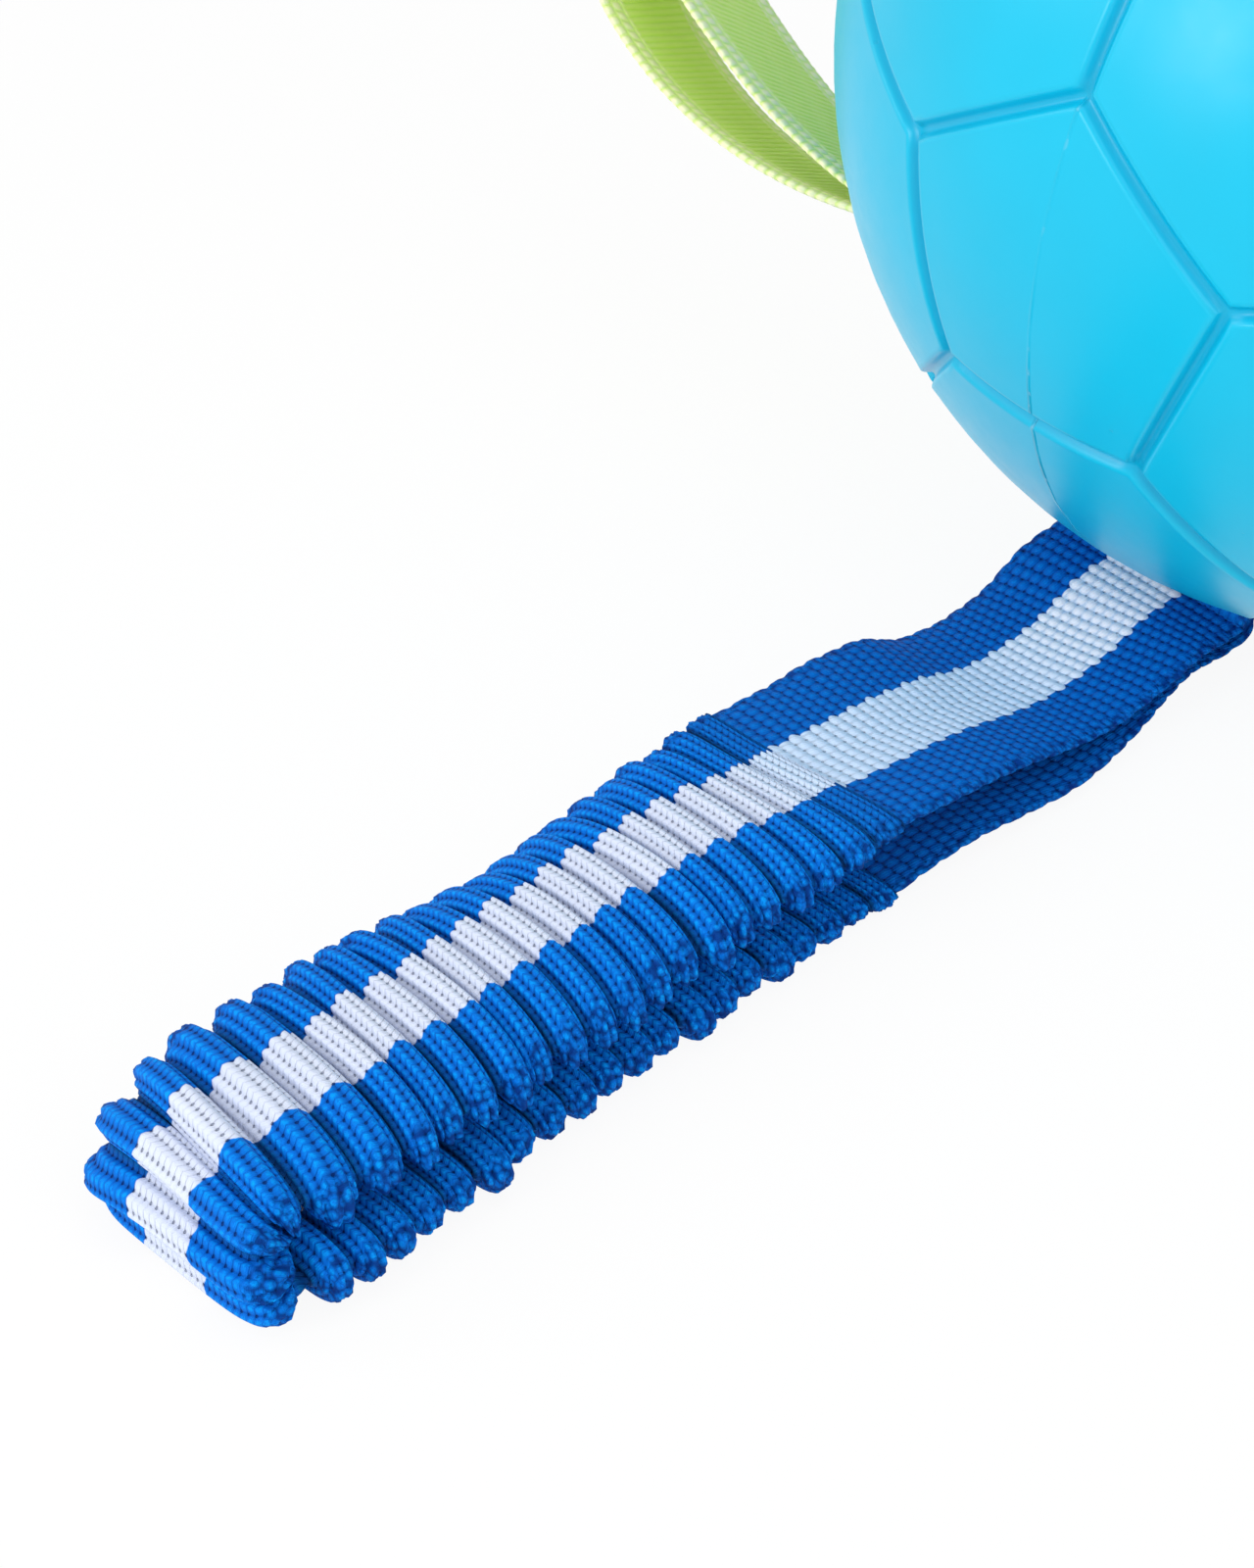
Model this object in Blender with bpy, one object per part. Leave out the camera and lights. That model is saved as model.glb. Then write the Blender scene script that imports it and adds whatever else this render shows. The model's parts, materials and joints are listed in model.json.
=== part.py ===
"""Dog tug ball: a hollow moulded rubber ball in two bonded halves, with webbing grab tabs
and a gathered, stretching webbing handle. Metres, +Z up, standing on the plane z = 0."""

import math

import bmesh
import bpy
from mathutils import Euler, Matrix, Vector

# Ball shell
BALL_DIAMETER = 0.178
WALL_THICKNESS = 0.004
SEAM_WIDTH = 0.0034
SEAM_DEPTH = 0.0014
REST_PATCH_DIAMETER = 0.024
TONGUE_LENGTH = 0.0025
TONGUE_THICKNESS = 0.0015
TONGUE_SETBACK = 0.0005
# How the ball lies: the handle's slot is turned away from straight down by these angles
BALL_PITCH = math.radians(26.6)
BALL_ROLL = math.radians(8.4)
BALL_YAW = math.radians(-2.6)

# Handle webbing: a woven tube, pressed flat in the tails and gathered in the grip
HANDLE_WIDTH = 0.038
HANDLE_THICKNESS = 0.0024
HANDLE_BAR_DIAMETER = 0.008
HANDLE_PIVOT_HEIGHT = 0.0025
UNTWIST_LENGTH = 0.025
# Middle of each tail, as distance from the pivot along -X and height over the floor
UPPER_TAIL_ROUTE = ((0.010, 0.0081), (0.020, 0.0061), (0.030, 0.0053), (0.038, 0.0055),
                    (0.047, 0.0070), (0.056, 0.0092), (0.066, 0.0114), (0.076, 0.0131))
LOWER_TAIL_ROUTE = ((0.010, 0.0051), (0.021, 0.0029), (0.034, 0.0020), (0.047, 0.0020),
                    (0.058, 0.0028), (0.068, 0.0034), (0.078, 0.0030))
GRIP_START = 0.0875
GRIP_LENGTH = 0.113
GRIP_RIDGES = 19
END_RIDGES = 5
LOOP_HEIGHT = 0.0206
RUN_THICKNESS = 0.0074
VALLEY_THICKNESS = 0.0040
GRIP_EDGE_DRAW = 0.0014
GRIP_RISE = 0.0022
GRIP_RISE_LENGTH = 0.034
FIRST_RIDGE_THICKNESS = 0.0054
ELASTIC_WIDTH = 0.022
ELASTIC_THICKNESS = 0.0016

# Grab tabs
TAB_WIDTH = 0.030
TAB_THICKNESS = 0.0016
TAB_LENGTH = 0.086
TAB_BULGE = 0.0076
TAB_BAR_DIAMETER = 0.006
TAB_PIVOT_HEIGHT = 0.0018
LOWER_TAB_LEAN = math.radians(36.4)
LOWER_TAB_CURL = 0.116
UPPER_TAB_LEAN = math.radians(18.0)
UPPER_TAB_CURL = 0.180

# Clearances
GAP = 0.0003
SLOT_CLEARANCE = 0.0006
PIVOT_CLEARANCE = 0.00035

# Facets
SEAM_STEPS = 4
INNER_SEGMENTS = 32
GRIP_SIDES = 14
RINGS_PER_RIDGE = 3
BAR_SIDES = 16

BALL_RADIUS = BALL_DIAMETER / 2
INNER_RADIUS = BALL_RADIUS - WALL_THICKNESS
REST_HEIGHT = math.sqrt(BALL_RADIUS ** 2 - (REST_PATCH_DIAMETER / 2) ** 2)
GOLDEN = (1 + math.sqrt(5)) / 2


def clear_scene():
    for item in list(bpy.data.objects):
        bpy.data.objects.remove(item)


def make_material(name, colour, roughness, metallic=0.0):
    material = bpy.data.materials.new(name)
    material.use_nodes = True
    shader = material.node_tree.nodes["Principled BSDF"]
    shader.inputs["Base Color"].default_value = (*colour, 1.0)
    shader.inputs["Roughness"].default_value = roughness
    shader.inputs["Metallic"].default_value = metallic
    material.diffuse_color = (*colour, 1.0)
    return material


def make_empty(name, parent=None, matrix=None):
    empty = bpy.data.objects.new(name, None)
    bpy.context.collection.objects.link(empty)
    empty.parent = parent
    empty.matrix_local = matrix or Matrix.Identity(4)
    return empty


def make_object(name, bm, material, parent, sharp_angle=35.0):
    bmesh.ops.recalc_face_normals(bm, faces=bm.faces)
    mesh = bpy.data.meshes.new(name)
    bm.to_mesh(mesh)
    bm.free()
    mesh.shade_smooth()
    mesh.set_sharp_from_angle(angle=math.radians(sharp_angle))
    item = bpy.data.objects.new(name, mesh)
    bpy.context.collection.objects.link(item)
    item.parent = parent
    if material:
        mesh.materials.append(material)
    return item


def make_cutter(name, bm, parent):
    cutter = make_object(name, bm, None, parent)
    cutter.hide_render = True
    cutter.display_type = "WIRE"
    return cutter


def add_boolean(item, cutter, operation):
    modifier = item.modifiers.new(cutter.name, "BOOLEAN")
    modifier.operation = operation
    modifier.object = cutter


def skin(bm, rings, closed=False):
    """Join rings of equal point counts with quads; closed also joins the last ring to the first."""
    loops = [[bm.verts.new(point) for point in ring] for ring in rings]
    pairs = list(zip(loops, loops[1:] + loops[:1])) if closed else list(zip(loops, loops[1:]))
    count = len(loops[0])
    for first, second in pairs:
        for k in range(count):
            after = (k + 1) % count
            bm.faces.new((first[k], first[after], second[after], second[k]))
    return loops


def solid_loft(rings):
    bm = bmesh.new()
    loops = skin(bm, rings)
    bm.faces.new(loops[0])
    bm.faces.new(loops[-1])
    return bm


def tube_loft(outer_rings, inner_rings):
    """A wall between an outer and an inner skin, closed by flat ends."""
    return bm_from_rings(outer_rings + inner_rings[::-1])


def bm_from_rings(rings):
    bm = bmesh.new()
    skin(bm, rings, closed=True)
    return bm


def smooth_route(points, steps):
    """Points on a Catmull-Rom curve through the given ones."""
    padded = [points[0] * 2 - points[1], *points, points[-1] * 2 - points[-2]]
    route = []
    for before, start, end, after in zip(padded, padded[1:], padded[2:], padded[3:]):
        for k in range(steps):
            f = k / steps
            route.append(0.5 * (2 * start + (end - before) * f
                                + (2 * before - 5 * start + 4 * end - after) * f ** 2
                                + (3 * start - before - 3 * end + after) * f ** 3))
    return route + [points[-1]]


# Ball shell

def panel_corners():
    """Pentagon and hexagon panels of the ball as lists of unit corner directions."""
    centres = []
    for a in (-1, 1):
        for b in (-GOLDEN, GOLDEN):
            centres += [Vector((0, a, b)), Vector((a, b, 0)), Vector((b, 0, a))]
    near = {i: [j for j, other in enumerate(centres) if j != i and (other - point).length < 2.1]
            for i, point in enumerate(centres)}

    def corner(i, j):
        return ((2 * centres[i] + centres[j]) / 3).normalized()

    panels = []
    for i, neighbours in near.items():
        axis = centres[i].normalized()
        panels.append(sort_around(axis, [corner(i, j) for j in neighbours]))
        for j in neighbours:
            for k in near[j]:
                if i < j < k and k in neighbours:
                    axis = (centres[i] + centres[j] + centres[k]).normalized()
                    pairs = ((i, j), (j, i), (j, k), (k, j), (k, i), (i, k))
                    panels.append(sort_around(axis, [corner(*pair) for pair in pairs]))
    return panels


def sort_around(axis, directions):
    across = axis.orthogonal().normalized()
    up = axis.cross(across)
    return sorted(directions, key=lambda d: math.atan2(d.dot(up), d.dot(across)))


def panelled_ball():
    """Closed sphere of soccer panels, parted by a groove along every seam."""
    bm = bmesh.new()
    for corners in panel_corners():
        centre = sum(corners, Vector()).normalized()
        edge = []
        for start, end in zip(corners, corners[1:] + corners[:1]):
            edge += [start.slerp(end, k / SEAM_STEPS) for k in range(SEAM_STEPS)]
        middle = ((corners[0] + corners[1]) / 2).normalized()
        reach = BALL_RADIUS * centre.angle(middle)
        shoulder = 1 - SEAM_WIDTH / 2 / reach

        def ring(share, radius, step=1):
            return [bm.verts.new(centre.lerp(d, share).normalized() * radius) for d in edge[::step]]

        floor = ring(1, BALL_RADIUS - SEAM_DEPTH)
        lip = ring(shoulder, BALL_RADIUS)
        crown = ring(0.66, BALL_RADIUS)
        heart = ring(0.33, BALL_RADIUS, 2)
        for outer, inner in ((floor, lip), (lip, crown)):
            for k in range(len(outer)):
                after = (k + 1) % len(outer)
                bm.faces.new((outer[k], outer[after], inner[after], inner[k]))
        top = bm.verts.new(centre * BALL_RADIUS)
        for k in range(len(heart)):
            after = (k + 1) % len(heart)
            first, second, third = crown[2 * k], crown[2 * k + 1], crown[(2 * k + 2) % len(crown)]
            bm.faces.new((first, second, heart[k]))
            bm.faces.new((second, third, heart[after], heart[k]))
            bm.faces.new((heart[k], heart[after], top))
    bmesh.ops.remove_doubles(bm, verts=bm.verts, dist=1e-6)
    bmesh.ops.recalc_face_normals(bm, faces=bm.faces)
    return bm


def half_ball(side):
    """The panelled ball on one side (+1 rear, -1 front) of the bond line, capped flat."""
    bm = panelled_ball()
    bmesh.ops.bisect_plane(bm, geom=bm.verts[:] + bm.edges[:] + bm.faces[:], dist=1e-7,
                           plane_co=(0, side * GAP / 2, 0), plane_no=(0, side, 0), clear_inner=True)
    rim = [item for item in bm.edges if item.is_boundary]
    bmesh.ops.holes_fill(bm, edges=rim, sides=0)
    return bm


def turned_ring(inner, outer, start, end, segments=48):
    """Ring about Y between two radii and two heights; an inner radius of zero gives a disc."""
    rings = []
    for k in range(segments):
        turn = 2 * math.pi * k / segments
        spoke = Vector((math.cos(turn), 0, math.sin(turn)))
        rings.append([spoke * inner + Vector((0, start, 0)), spoke * outer + Vector((0, start, 0)),
                      spoke * outer + Vector((0, end, 0)), spoke * inner + Vector((0, end, 0))])
    return bm_from_rings(rings)


def turned_disc(radius, start, end, segments=48):
    rings = []
    for height in (start, end):
        rings.append([(radius * math.cos(2 * math.pi * k / segments), height,
                       radius * math.sin(2 * math.pi * k / segments)) for k in range(segments)])
    return solid_loft(rings)


def make_shells(ball, material, slot_cutters):
    facet_allowance = math.cos(math.pi / INNER_SEGMENTS) ** 2
    bm = bmesh.new()
    bmesh.ops.create_uvsphere(bm, u_segments=INNER_SEGMENTS, v_segments=INNER_SEGMENTS // 2,
                              radius=INNER_RADIUS / facet_allowance)
    hollow = make_cutter("hollow_cutter", bm, ball)

    tongue_inner = INNER_RADIUS + TONGUE_SETBACK
    tongue_outer = tongue_inner + TONGUE_THICKNESS
    tongue = make_cutter("tongue_ring", turned_ring(tongue_inner, tongue_outer,
                                                    -TONGUE_LENGTH, WALL_THICKNESS / 3), ball)
    rebate = make_cutter("rebate_cutter", turned_disc(tongue_outer + GAP, -TONGUE_LENGTH - GAP,
                                                      WALL_THICKNESS / 3), ball)
    bm = bmesh.new()
    bmesh.ops.create_cube(bm, size=BALL_DIAMETER)
    bmesh.ops.translate(bm, verts=bm.verts, vec=(0, 0, -BALL_RADIUS))
    ground = make_cutter("ground_cutter", bm, None)

    for name, side, operation, lap in (("rear_half_shell", 1, "UNION", tongue),
                                       ("front_half_shell", -1, "DIFFERENCE", rebate)):
        shell = make_object(name, half_ball(side), material, ball, sharp_angle=30.0)
        add_boolean(shell, hollow, "DIFFERENCE")
        add_boolean(shell, lap, operation)
        for cutter in (*slot_cutters, ground):
            add_boolean(shell, cutter, "DIFFERENCE")


# Strap roots: what holds a strap's folded end inside the ball

def socket_matrix(outward, lean_to):
    """Axes of a strap socket at the ball's centre: X out through the slot, Z the way it leans."""
    across = lean_to.cross(outward)
    return Matrix((outward, across, lean_to)).transposed().to_4x4()


def root_sizes(width, thickness, bar_diameter):
    """Half thickness of the doubled strap, eye radius, bar place and bar half length."""
    half = thickness + GAP / 2
    eye = bar_diameter / 2 + GAP + thickness
    bar_place = math.sqrt(INNER_RADIUS ** 2 - (width / 2) ** 2) - GAP - eye
    bar_half_length = math.sqrt(INNER_RADIUS ** 2 - (bar_place + bar_diameter / 2 + GAP) ** 2)
    return half, eye, bar_place, bar_half_length


def make_slot_cutter(name, socket, width, thickness):
    half = thickness + GAP / 2 + SLOT_CLEARANCE
    depth = 4 * WALL_THICKNESS
    bm = bmesh.new()
    bmesh.ops.create_cube(bm, size=1.0)
    bmesh.ops.scale(bm, verts=bm.verts, vec=(depth, width + 2 * SLOT_CLEARANCE, 2 * half))
    corners = [e for e in bm.edges if abs(e.verts[0].co.x - e.verts[1].co.x) > depth / 2]
    bmesh.ops.bevel(bm, geom=corners, offset=2 * SLOT_CLEARANCE, segments=2, profile=0.5, affect="EDGES")
    bmesh.ops.translate(bm, verts=bm.verts, vec=(INNER_RADIUS + WALL_THICKNESS / 2, 0, 0))
    return make_cutter(name, bm, socket)


def make_root(label, socket, width, thickness, bar_diameter, pivot_height, web, bar_material):
    """The doubled strap end in its slot, its eye inside the ball and the bar through the eye."""
    half, eye, bar_place, bar_half_length = root_sizes(width, thickness, bar_diameter)
    mouth = BALL_RADIUS + pivot_height - half - PIVOT_CLEARANCE
    join = math.asin(half / eye)
    turns = [join + (2 * math.pi - 2 * join) * k / BAR_SIDES for k in range(BAR_SIDES + 1)]
    outline = [(mouth - bar_place, -half), (mouth - bar_place, half)]
    outline += [(eye * math.cos(turn), eye * math.sin(turn)) for turn in turns]
    hole = bar_diameter / 2 + GAP
    bore = [Vector(point).normalized() * hole / math.cos(math.pi / BAR_SIDES) for point in outline]

    def ring(points, across):
        return [Vector((bar_place + x, across, z)) for x, z in points]

    sides = (-width / 2, width / 2)
    bm = tube_loft([ring(outline, y) for y in sides], [ring(bore, y) for y in sides])
    make_object(label + "_root", bm, web, socket)

    spokes = [2 * math.pi * k / BAR_SIDES for k in range(BAR_SIDES)]
    circle = [(math.cos(turn) * bar_diameter / 2, math.sin(turn) * bar_diameter / 2) for turn in spokes]
    chamfer = bar_diameter / 10
    rings = []
    for place, share in ((-bar_half_length, 0.8), (chamfer - bar_half_length, 1.0),
                         (bar_half_length - chamfer, 1.0), (bar_half_length, 0.8)):
        rings.append(ring([(x * share, z * share) for x, z in circle], place))
    make_object(label + "_anchor_bar", solid_loft(rings), bar_material, socket)


# Grab tabs

def tab_loop_points(lean, curl):
    """Closed middle line of a tab's teardrop loop, as (out, lean) places from its pivot."""
    leg = TAB_THICKNESS / 2 + GAP / 2
    steps = 15
    turns = [math.pi * (k + 1) / steps for k in range(2 * steps - 1)]
    points = []
    for turn in turns:
        along = TAB_LENGTH * (1 - math.cos(turn)) / 2
        aside = TAB_BULGE * math.sin(turn) * abs(math.sin(turn / 2))
        side = math.copysign(1, math.pi - turn + 1e-9)
        fade = min(1, 4 * (1 - along / TAB_LENGTH))
        aside += side * leg * fade
        angle = lean + along / curl
        spine = Vector((math.sin(angle) - math.sin(lean), math.cos(lean) - math.cos(angle))) * curl
        points.append(spine + aside * Vector((-math.sin(angle), math.cos(angle))))
    for k in range(1, 6):
        turn = lean + math.pi / 2 + math.pi + (-math.pi) * k / 6
        points.append(leg * Vector((math.cos(turn), math.sin(turn))))
    return points


def offset_loop(points, distance):
    moved = []
    for before, point, after in zip(points[-1:] + points[:-1], points, points[1:] + points[:1]):
        along = (after - before).normalized()
        moved.append(point + distance * Vector((-along.y, along.x)))
    return moved


def make_tab(label, socket, lean, curl, web):
    pivot = make_empty(label + "_pivot", socket,
                       Matrix.Translation((BALL_RADIUS + TAB_PIVOT_HEIGHT, 0, 0)))
    middle = tab_loop_points(lean, curl)
    outer = offset_loop(middle, TAB_THICKNESS / 2)
    inner = offset_loop(middle, -TAB_THICKNESS / 2)

    def ring(points, across):
        return [Vector((point.x, across, point.y)) for point in points]

    sides = (-TAB_WIDTH / 2, TAB_WIDTH / 2)
    bm = tube_loft([ring(outer, y) for y in sides], [ring(inner, y) for y in sides])
    make_object(label + "_loop", bm, web, pivot)


# Handle

def strap_section(place, across, up, width, thickness):
    """Eight corners of a strap's chamfered section."""
    chamfer = thickness * 0.3
    a, b = width / 2, thickness / 2
    corners = ((-a, chamfer - b), (chamfer - a, -b), (a - chamfer, -b), (a, chamfer - b),
               (a, b - chamfer), (a - chamfer, b), (chamfer - a, b), (-a, b - chamfer))
    return [place + across * x + up * z for x, z in corners]


def make_tail(name, pivot, root_across, level, route, end, web):
    """A flat tail from the slot to the grip, turning from the slot's slant to lie level."""
    floor = -pivot.matrix_world.translation.z
    start = Vector((0, 0, level))
    points = [start] + [Vector((-reach, 0, floor + height)) for reach, height in route] + [end]
    path = smooth_route(points, 3)
    rings = []
    for k, place in enumerate(path):
        along = (path[min(k + 1, len(path) - 1)] - path[max(k - 1, 0)]).normalized()
        share = min(1.0, -place.x / UNTWIST_LENGTH)
        across = root_across.lerp(Vector((0, -1, 0)), share * share * (3 - 2 * share))
        across = (across - along * across.dot(along)).normalized()
        up = across.cross(along)
        if up.z < 0:
            up = -up
        rings.append(strap_section(place, across, up, HANDLE_WIDTH, HANDLE_THICKNESS))
    make_object(name, solid_loft(rings), web, pivot)


def grip_section(place, across, up, half_width, half_height):
    """Rounded oblong section of the gathered sleeve."""
    ring = []
    for k in range(GRIP_SIDES):
        turn = 2 * math.pi * (k + 0.5) / GRIP_SIDES
        x, z = math.cos(turn), math.sin(turn)
        ring.append(place + across * half_width * math.copysign(abs(x) ** 0.55, x)
                    + up * half_height * math.copysign(abs(z) ** 0.7, z))
    return ring


def ridge_swell(phase):
    """0 in a valley between gathers, 1 on the flattened top of a ridge."""
    return min(1.0, math.sin(math.pi * (phase % 1.0)) / math.sin(math.pi / RINGS_PER_RIDGE))


def grip_half_height(share_along):
    """Half thickness over the ridges: the first gathers are lower than the rest."""
    grow = min(1.0, share_along * GRIP_LENGTH / GRIP_RISE_LENGTH)
    return (FIRST_RIDGE_THICKNESS + (RUN_THICKNESS - FIRST_RIDGE_THICKNESS) * grow) / 2


def sleeve_rings(places, swells, half_heights, across):
    """Outer rings of the gathered sleeve; places are (point, up) pairs."""
    rings = []
    for (place, up), swell, half in zip(places, swells, half_heights):
        half_width = HANDLE_WIDTH / 2 - GRIP_EDGE_DRAW * (1 - swell)
        half_height = VALLEY_THICKNESS / 2 * (1 - swell) + half * swell
        rings.append(grip_section(place, across, up, half_width, half_height))
    return rings


def band_rings(places, across, width, thickness):
    return [grip_section(place, across, up, width / 2, thickness / 2) for place, up in places]


def make_run(name, elastic_name, pivot, places, across, web, elastic):
    count = len(places) - 1
    swells = [ridge_swell(GRIP_RIDGES * k / count) for k in range(count)] + [0.0]
    half_heights = [grip_half_height(k / count) for k in range(count + 1)]
    make_sleeve(name, elastic_name, pivot, places, swells, half_heights, across, web, elastic)


def make_sleeve(name, elastic_name, parent, places, swells, half_heights, across, web, elastic):
    bore_places = places[::RINGS_PER_RIDGE]
    outer = sleeve_rings(places, swells, half_heights, across)
    bore = band_rings(bore_places, across, ELASTIC_WIDTH + 2 * GAP, ELASTIC_THICKNESS + 2 * GAP)
    make_object(name, tube_loft(outer, bore), web, parent)
    core = band_rings(bore_places, across, ELASTIC_WIDTH, ELASTIC_THICKNESS)
    make_object(elastic_name, solid_loft(core), elastic, parent)


def make_handle(pivot, root_across, web, elastic):
    floor = -pivot.matrix_world.translation.z
    half_run = RUN_THICKNESS / 2
    upper_level = floor + LOOP_HEIGHT - half_run
    lower_level = floor + half_run
    across = Vector((0, -1, 0))
    up = Vector((0, 0, 1))
    count = GRIP_RIDGES * RINGS_PER_RIDGE
    upper_places = []
    lower_places = []
    for k in range(count + 1):
        along = GRIP_LENGTH * k / count
        ease = min(1.0, along / GRIP_RISE_LENGTH)
        drop = GRIP_RISE * (1 - ease * ease * (3 - 2 * ease))
        x = -(GRIP_START + along)
        upper_places.append((Vector((x, 0, upper_level - drop)), up))
        lower_places.append((Vector((x, 0, floor + grip_half_height(k / count))), up))

    step = Vector((GAP, 0, 0))
    leg = HANDLE_THICKNESS / 2 + GAP / 2
    make_tail("handle_tail_upper", pivot, root_across, leg, UPPER_TAIL_ROUTE, upper_places[0][0] + step, web)
    make_tail("handle_tail_lower", pivot, root_across, -leg, LOWER_TAIL_ROUTE, lower_places[0][0] + step, web)
    make_run("grip_sleeve_upper", "elastic_upper", pivot, upper_places, across, web, elastic)
    make_run("grip_sleeve_lower", "elastic_lower", pivot, lower_places, across, web, elastic)

    bend = (upper_level - lower_level) / 2
    centre = Vector((-(GRIP_START + GRIP_LENGTH + GAP), 0, (upper_level + lower_level) / 2))
    carrier = make_empty("grip_end_carrier", pivot, Matrix.Translation(centre))
    count = END_RIDGES * RINGS_PER_RIDGE
    places = []
    for k in range(count + 1):
        turn = math.pi * k / count
        out = Vector((-math.sin(turn), 0, math.cos(turn)))
        places.append((out * bend, out))
    swells = [ridge_swell(END_RIDGES * k / count) for k in range(count)] + [0.0]
    make_sleeve("grip_sleeve_end", "elastic_end", carrier, places, swells, [half_run] * (count + 1),
                across, web, elastic)


def main():
    clear_scene()
    rubber = make_material("ball_rubber", (0.005, 0.52, 0.86), 0.38)
    blue_web = make_material("handle_webbing", (0.004, 0.10, 0.50), 0.75)
    green_web = make_material("tab_webbing", (0.36, 0.60, 0.05), 0.75)
    elastic = make_material("elastic_band", (0.85, 0.85, 0.83), 0.8)
    nylon = make_material("bar_nylon", (0.80, 0.80, 0.78), 0.45)

    lie = Euler((0, BALL_PITCH, 0)).to_matrix()
    lie = Euler((0, 0, BALL_YAW)).to_matrix() @ Euler((BALL_ROLL, 0, 0)).to_matrix() @ lie
    ball = make_empty("ball_centre", None, Matrix.Translation((0, 0, REST_HEIGHT)) @ lie.to_4x4())

    cutters = []
    handle_socket = make_empty("handle_socket", ball, socket_matrix(Vector((0, 0, -1)), Vector((-1, 0, 0))))
    cutters.append(make_slot_cutter("handle_slot", handle_socket, HANDLE_WIDTH, HANDLE_THICKNESS))
    make_root("handle", handle_socket, HANDLE_WIDTH, HANDLE_THICKNESS, HANDLE_BAR_DIAMETER,
              HANDLE_PIVOT_HEIGHT, blue_web, nylon)

    pentagon = Vector((0, 1, GOLDEN))
    neighbour = (Vector((1, GOLDEN, 0)), Vector((-1, GOLDEN, 0)))
    tab_seat = sum(((2 * pentagon + other) / 3 for other in neighbour), Vector()).normalized()
    for row, up, lean, curl in (("lower", -1, LOWER_TAB_LEAN, LOWER_TAB_CURL),
                                ("upper", 1, UPPER_TAB_LEAN, UPPER_TAB_CURL)):
        for place, back in (("rear", 1), ("front", -1)):
            label = "tab_" + place + "_" + row
            outward = Vector((0, back * tab_seat.y, up * tab_seat.z))
            lean_to = Vector((0, back * tab_seat.z, -up * tab_seat.y))
            socket = make_empty(label + "_socket", ball, socket_matrix(outward, lean_to))
            cutters.append(make_slot_cutter(label + "_slot", socket, TAB_WIDTH, TAB_THICKNESS))
            make_root(label, socket, TAB_WIDTH, TAB_THICKNESS, TAB_BAR_DIAMETER, TAB_PIVOT_HEIGHT,
                      green_web, nylon)
            make_tab(label, socket, lean, curl, green_web)

    make_shells(ball, rubber, cutters)

    bpy.context.view_layer.update()
    frame = handle_socket.matrix_world
    pivot = make_empty("handle_pivot", None,
                       Matrix.Translation(frame @ Vector((BALL_RADIUS + HANDLE_PIVOT_HEIGHT, 0, 0))))
    bpy.context.view_layer.update()
    root_across = frame.to_3x3() @ Vector((0, 1, 0))
    if root_across.y > 0:
        root_across = -root_across
    make_handle(pivot, root_across, blue_web, elastic)


main()
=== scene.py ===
import json
import math
from contextlib import contextmanager

import bpy
import numpy as np
from bpy.props import FloatProperty, FloatVectorProperty, IntProperty, PointerProperty
from mathutils import Matrix, Vector

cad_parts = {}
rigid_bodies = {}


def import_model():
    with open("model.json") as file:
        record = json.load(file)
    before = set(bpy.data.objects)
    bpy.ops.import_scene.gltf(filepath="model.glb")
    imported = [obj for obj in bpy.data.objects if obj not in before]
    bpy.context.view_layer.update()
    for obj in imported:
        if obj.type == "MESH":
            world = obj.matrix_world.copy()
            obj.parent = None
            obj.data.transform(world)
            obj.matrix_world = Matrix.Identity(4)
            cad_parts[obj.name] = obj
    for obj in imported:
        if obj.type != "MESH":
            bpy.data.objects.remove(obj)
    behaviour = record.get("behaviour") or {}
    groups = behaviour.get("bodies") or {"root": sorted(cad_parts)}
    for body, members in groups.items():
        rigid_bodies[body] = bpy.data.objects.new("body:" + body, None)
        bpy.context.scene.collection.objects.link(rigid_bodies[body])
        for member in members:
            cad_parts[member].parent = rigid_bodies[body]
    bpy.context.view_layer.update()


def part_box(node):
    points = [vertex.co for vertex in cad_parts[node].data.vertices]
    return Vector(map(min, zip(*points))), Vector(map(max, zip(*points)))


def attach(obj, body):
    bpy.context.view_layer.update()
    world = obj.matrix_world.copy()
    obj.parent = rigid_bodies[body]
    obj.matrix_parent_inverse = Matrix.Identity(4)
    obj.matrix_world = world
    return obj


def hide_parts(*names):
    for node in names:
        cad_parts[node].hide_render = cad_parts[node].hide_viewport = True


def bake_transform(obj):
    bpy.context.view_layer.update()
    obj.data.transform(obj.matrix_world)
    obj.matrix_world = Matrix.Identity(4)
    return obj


bl_info = {
    "name": "Tug Ball",
    "version": (1, 0, 0),
    "blender": (4, 5, 0),
    "location": "View3D > Sidebar > Tug Ball",
    "description": "Dresses the packed tug ball: panelled shell, gathered handle and grab tabs",
    "category": "Object",
}

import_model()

MM = 0.001
# Up, out along the handle, and towards the handle's near edge
UP = Vector((0, 0, 1))
NEAR = Vector((0, -1, 0))


def frame_size(node, axis):
    low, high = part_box(node)
    return high[axis] - low[axis]


def size(name, description, default):
    return FloatProperty(name=name, description=description, default=default, unit="LENGTH", precision=5)


def angle(name, description, degrees):
    return FloatProperty(name=name, description=description, default=math.radians(degrees),
                         subtype="ANGLE")


def power(name, description, default):
    return FloatProperty(name=name, description=description, default=default, unit="POWER")


def colour(name, description, default):
    return FloatVectorProperty(name=name, description=description, default=default, subtype="COLOR",
                               min=0, max=1)


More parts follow.
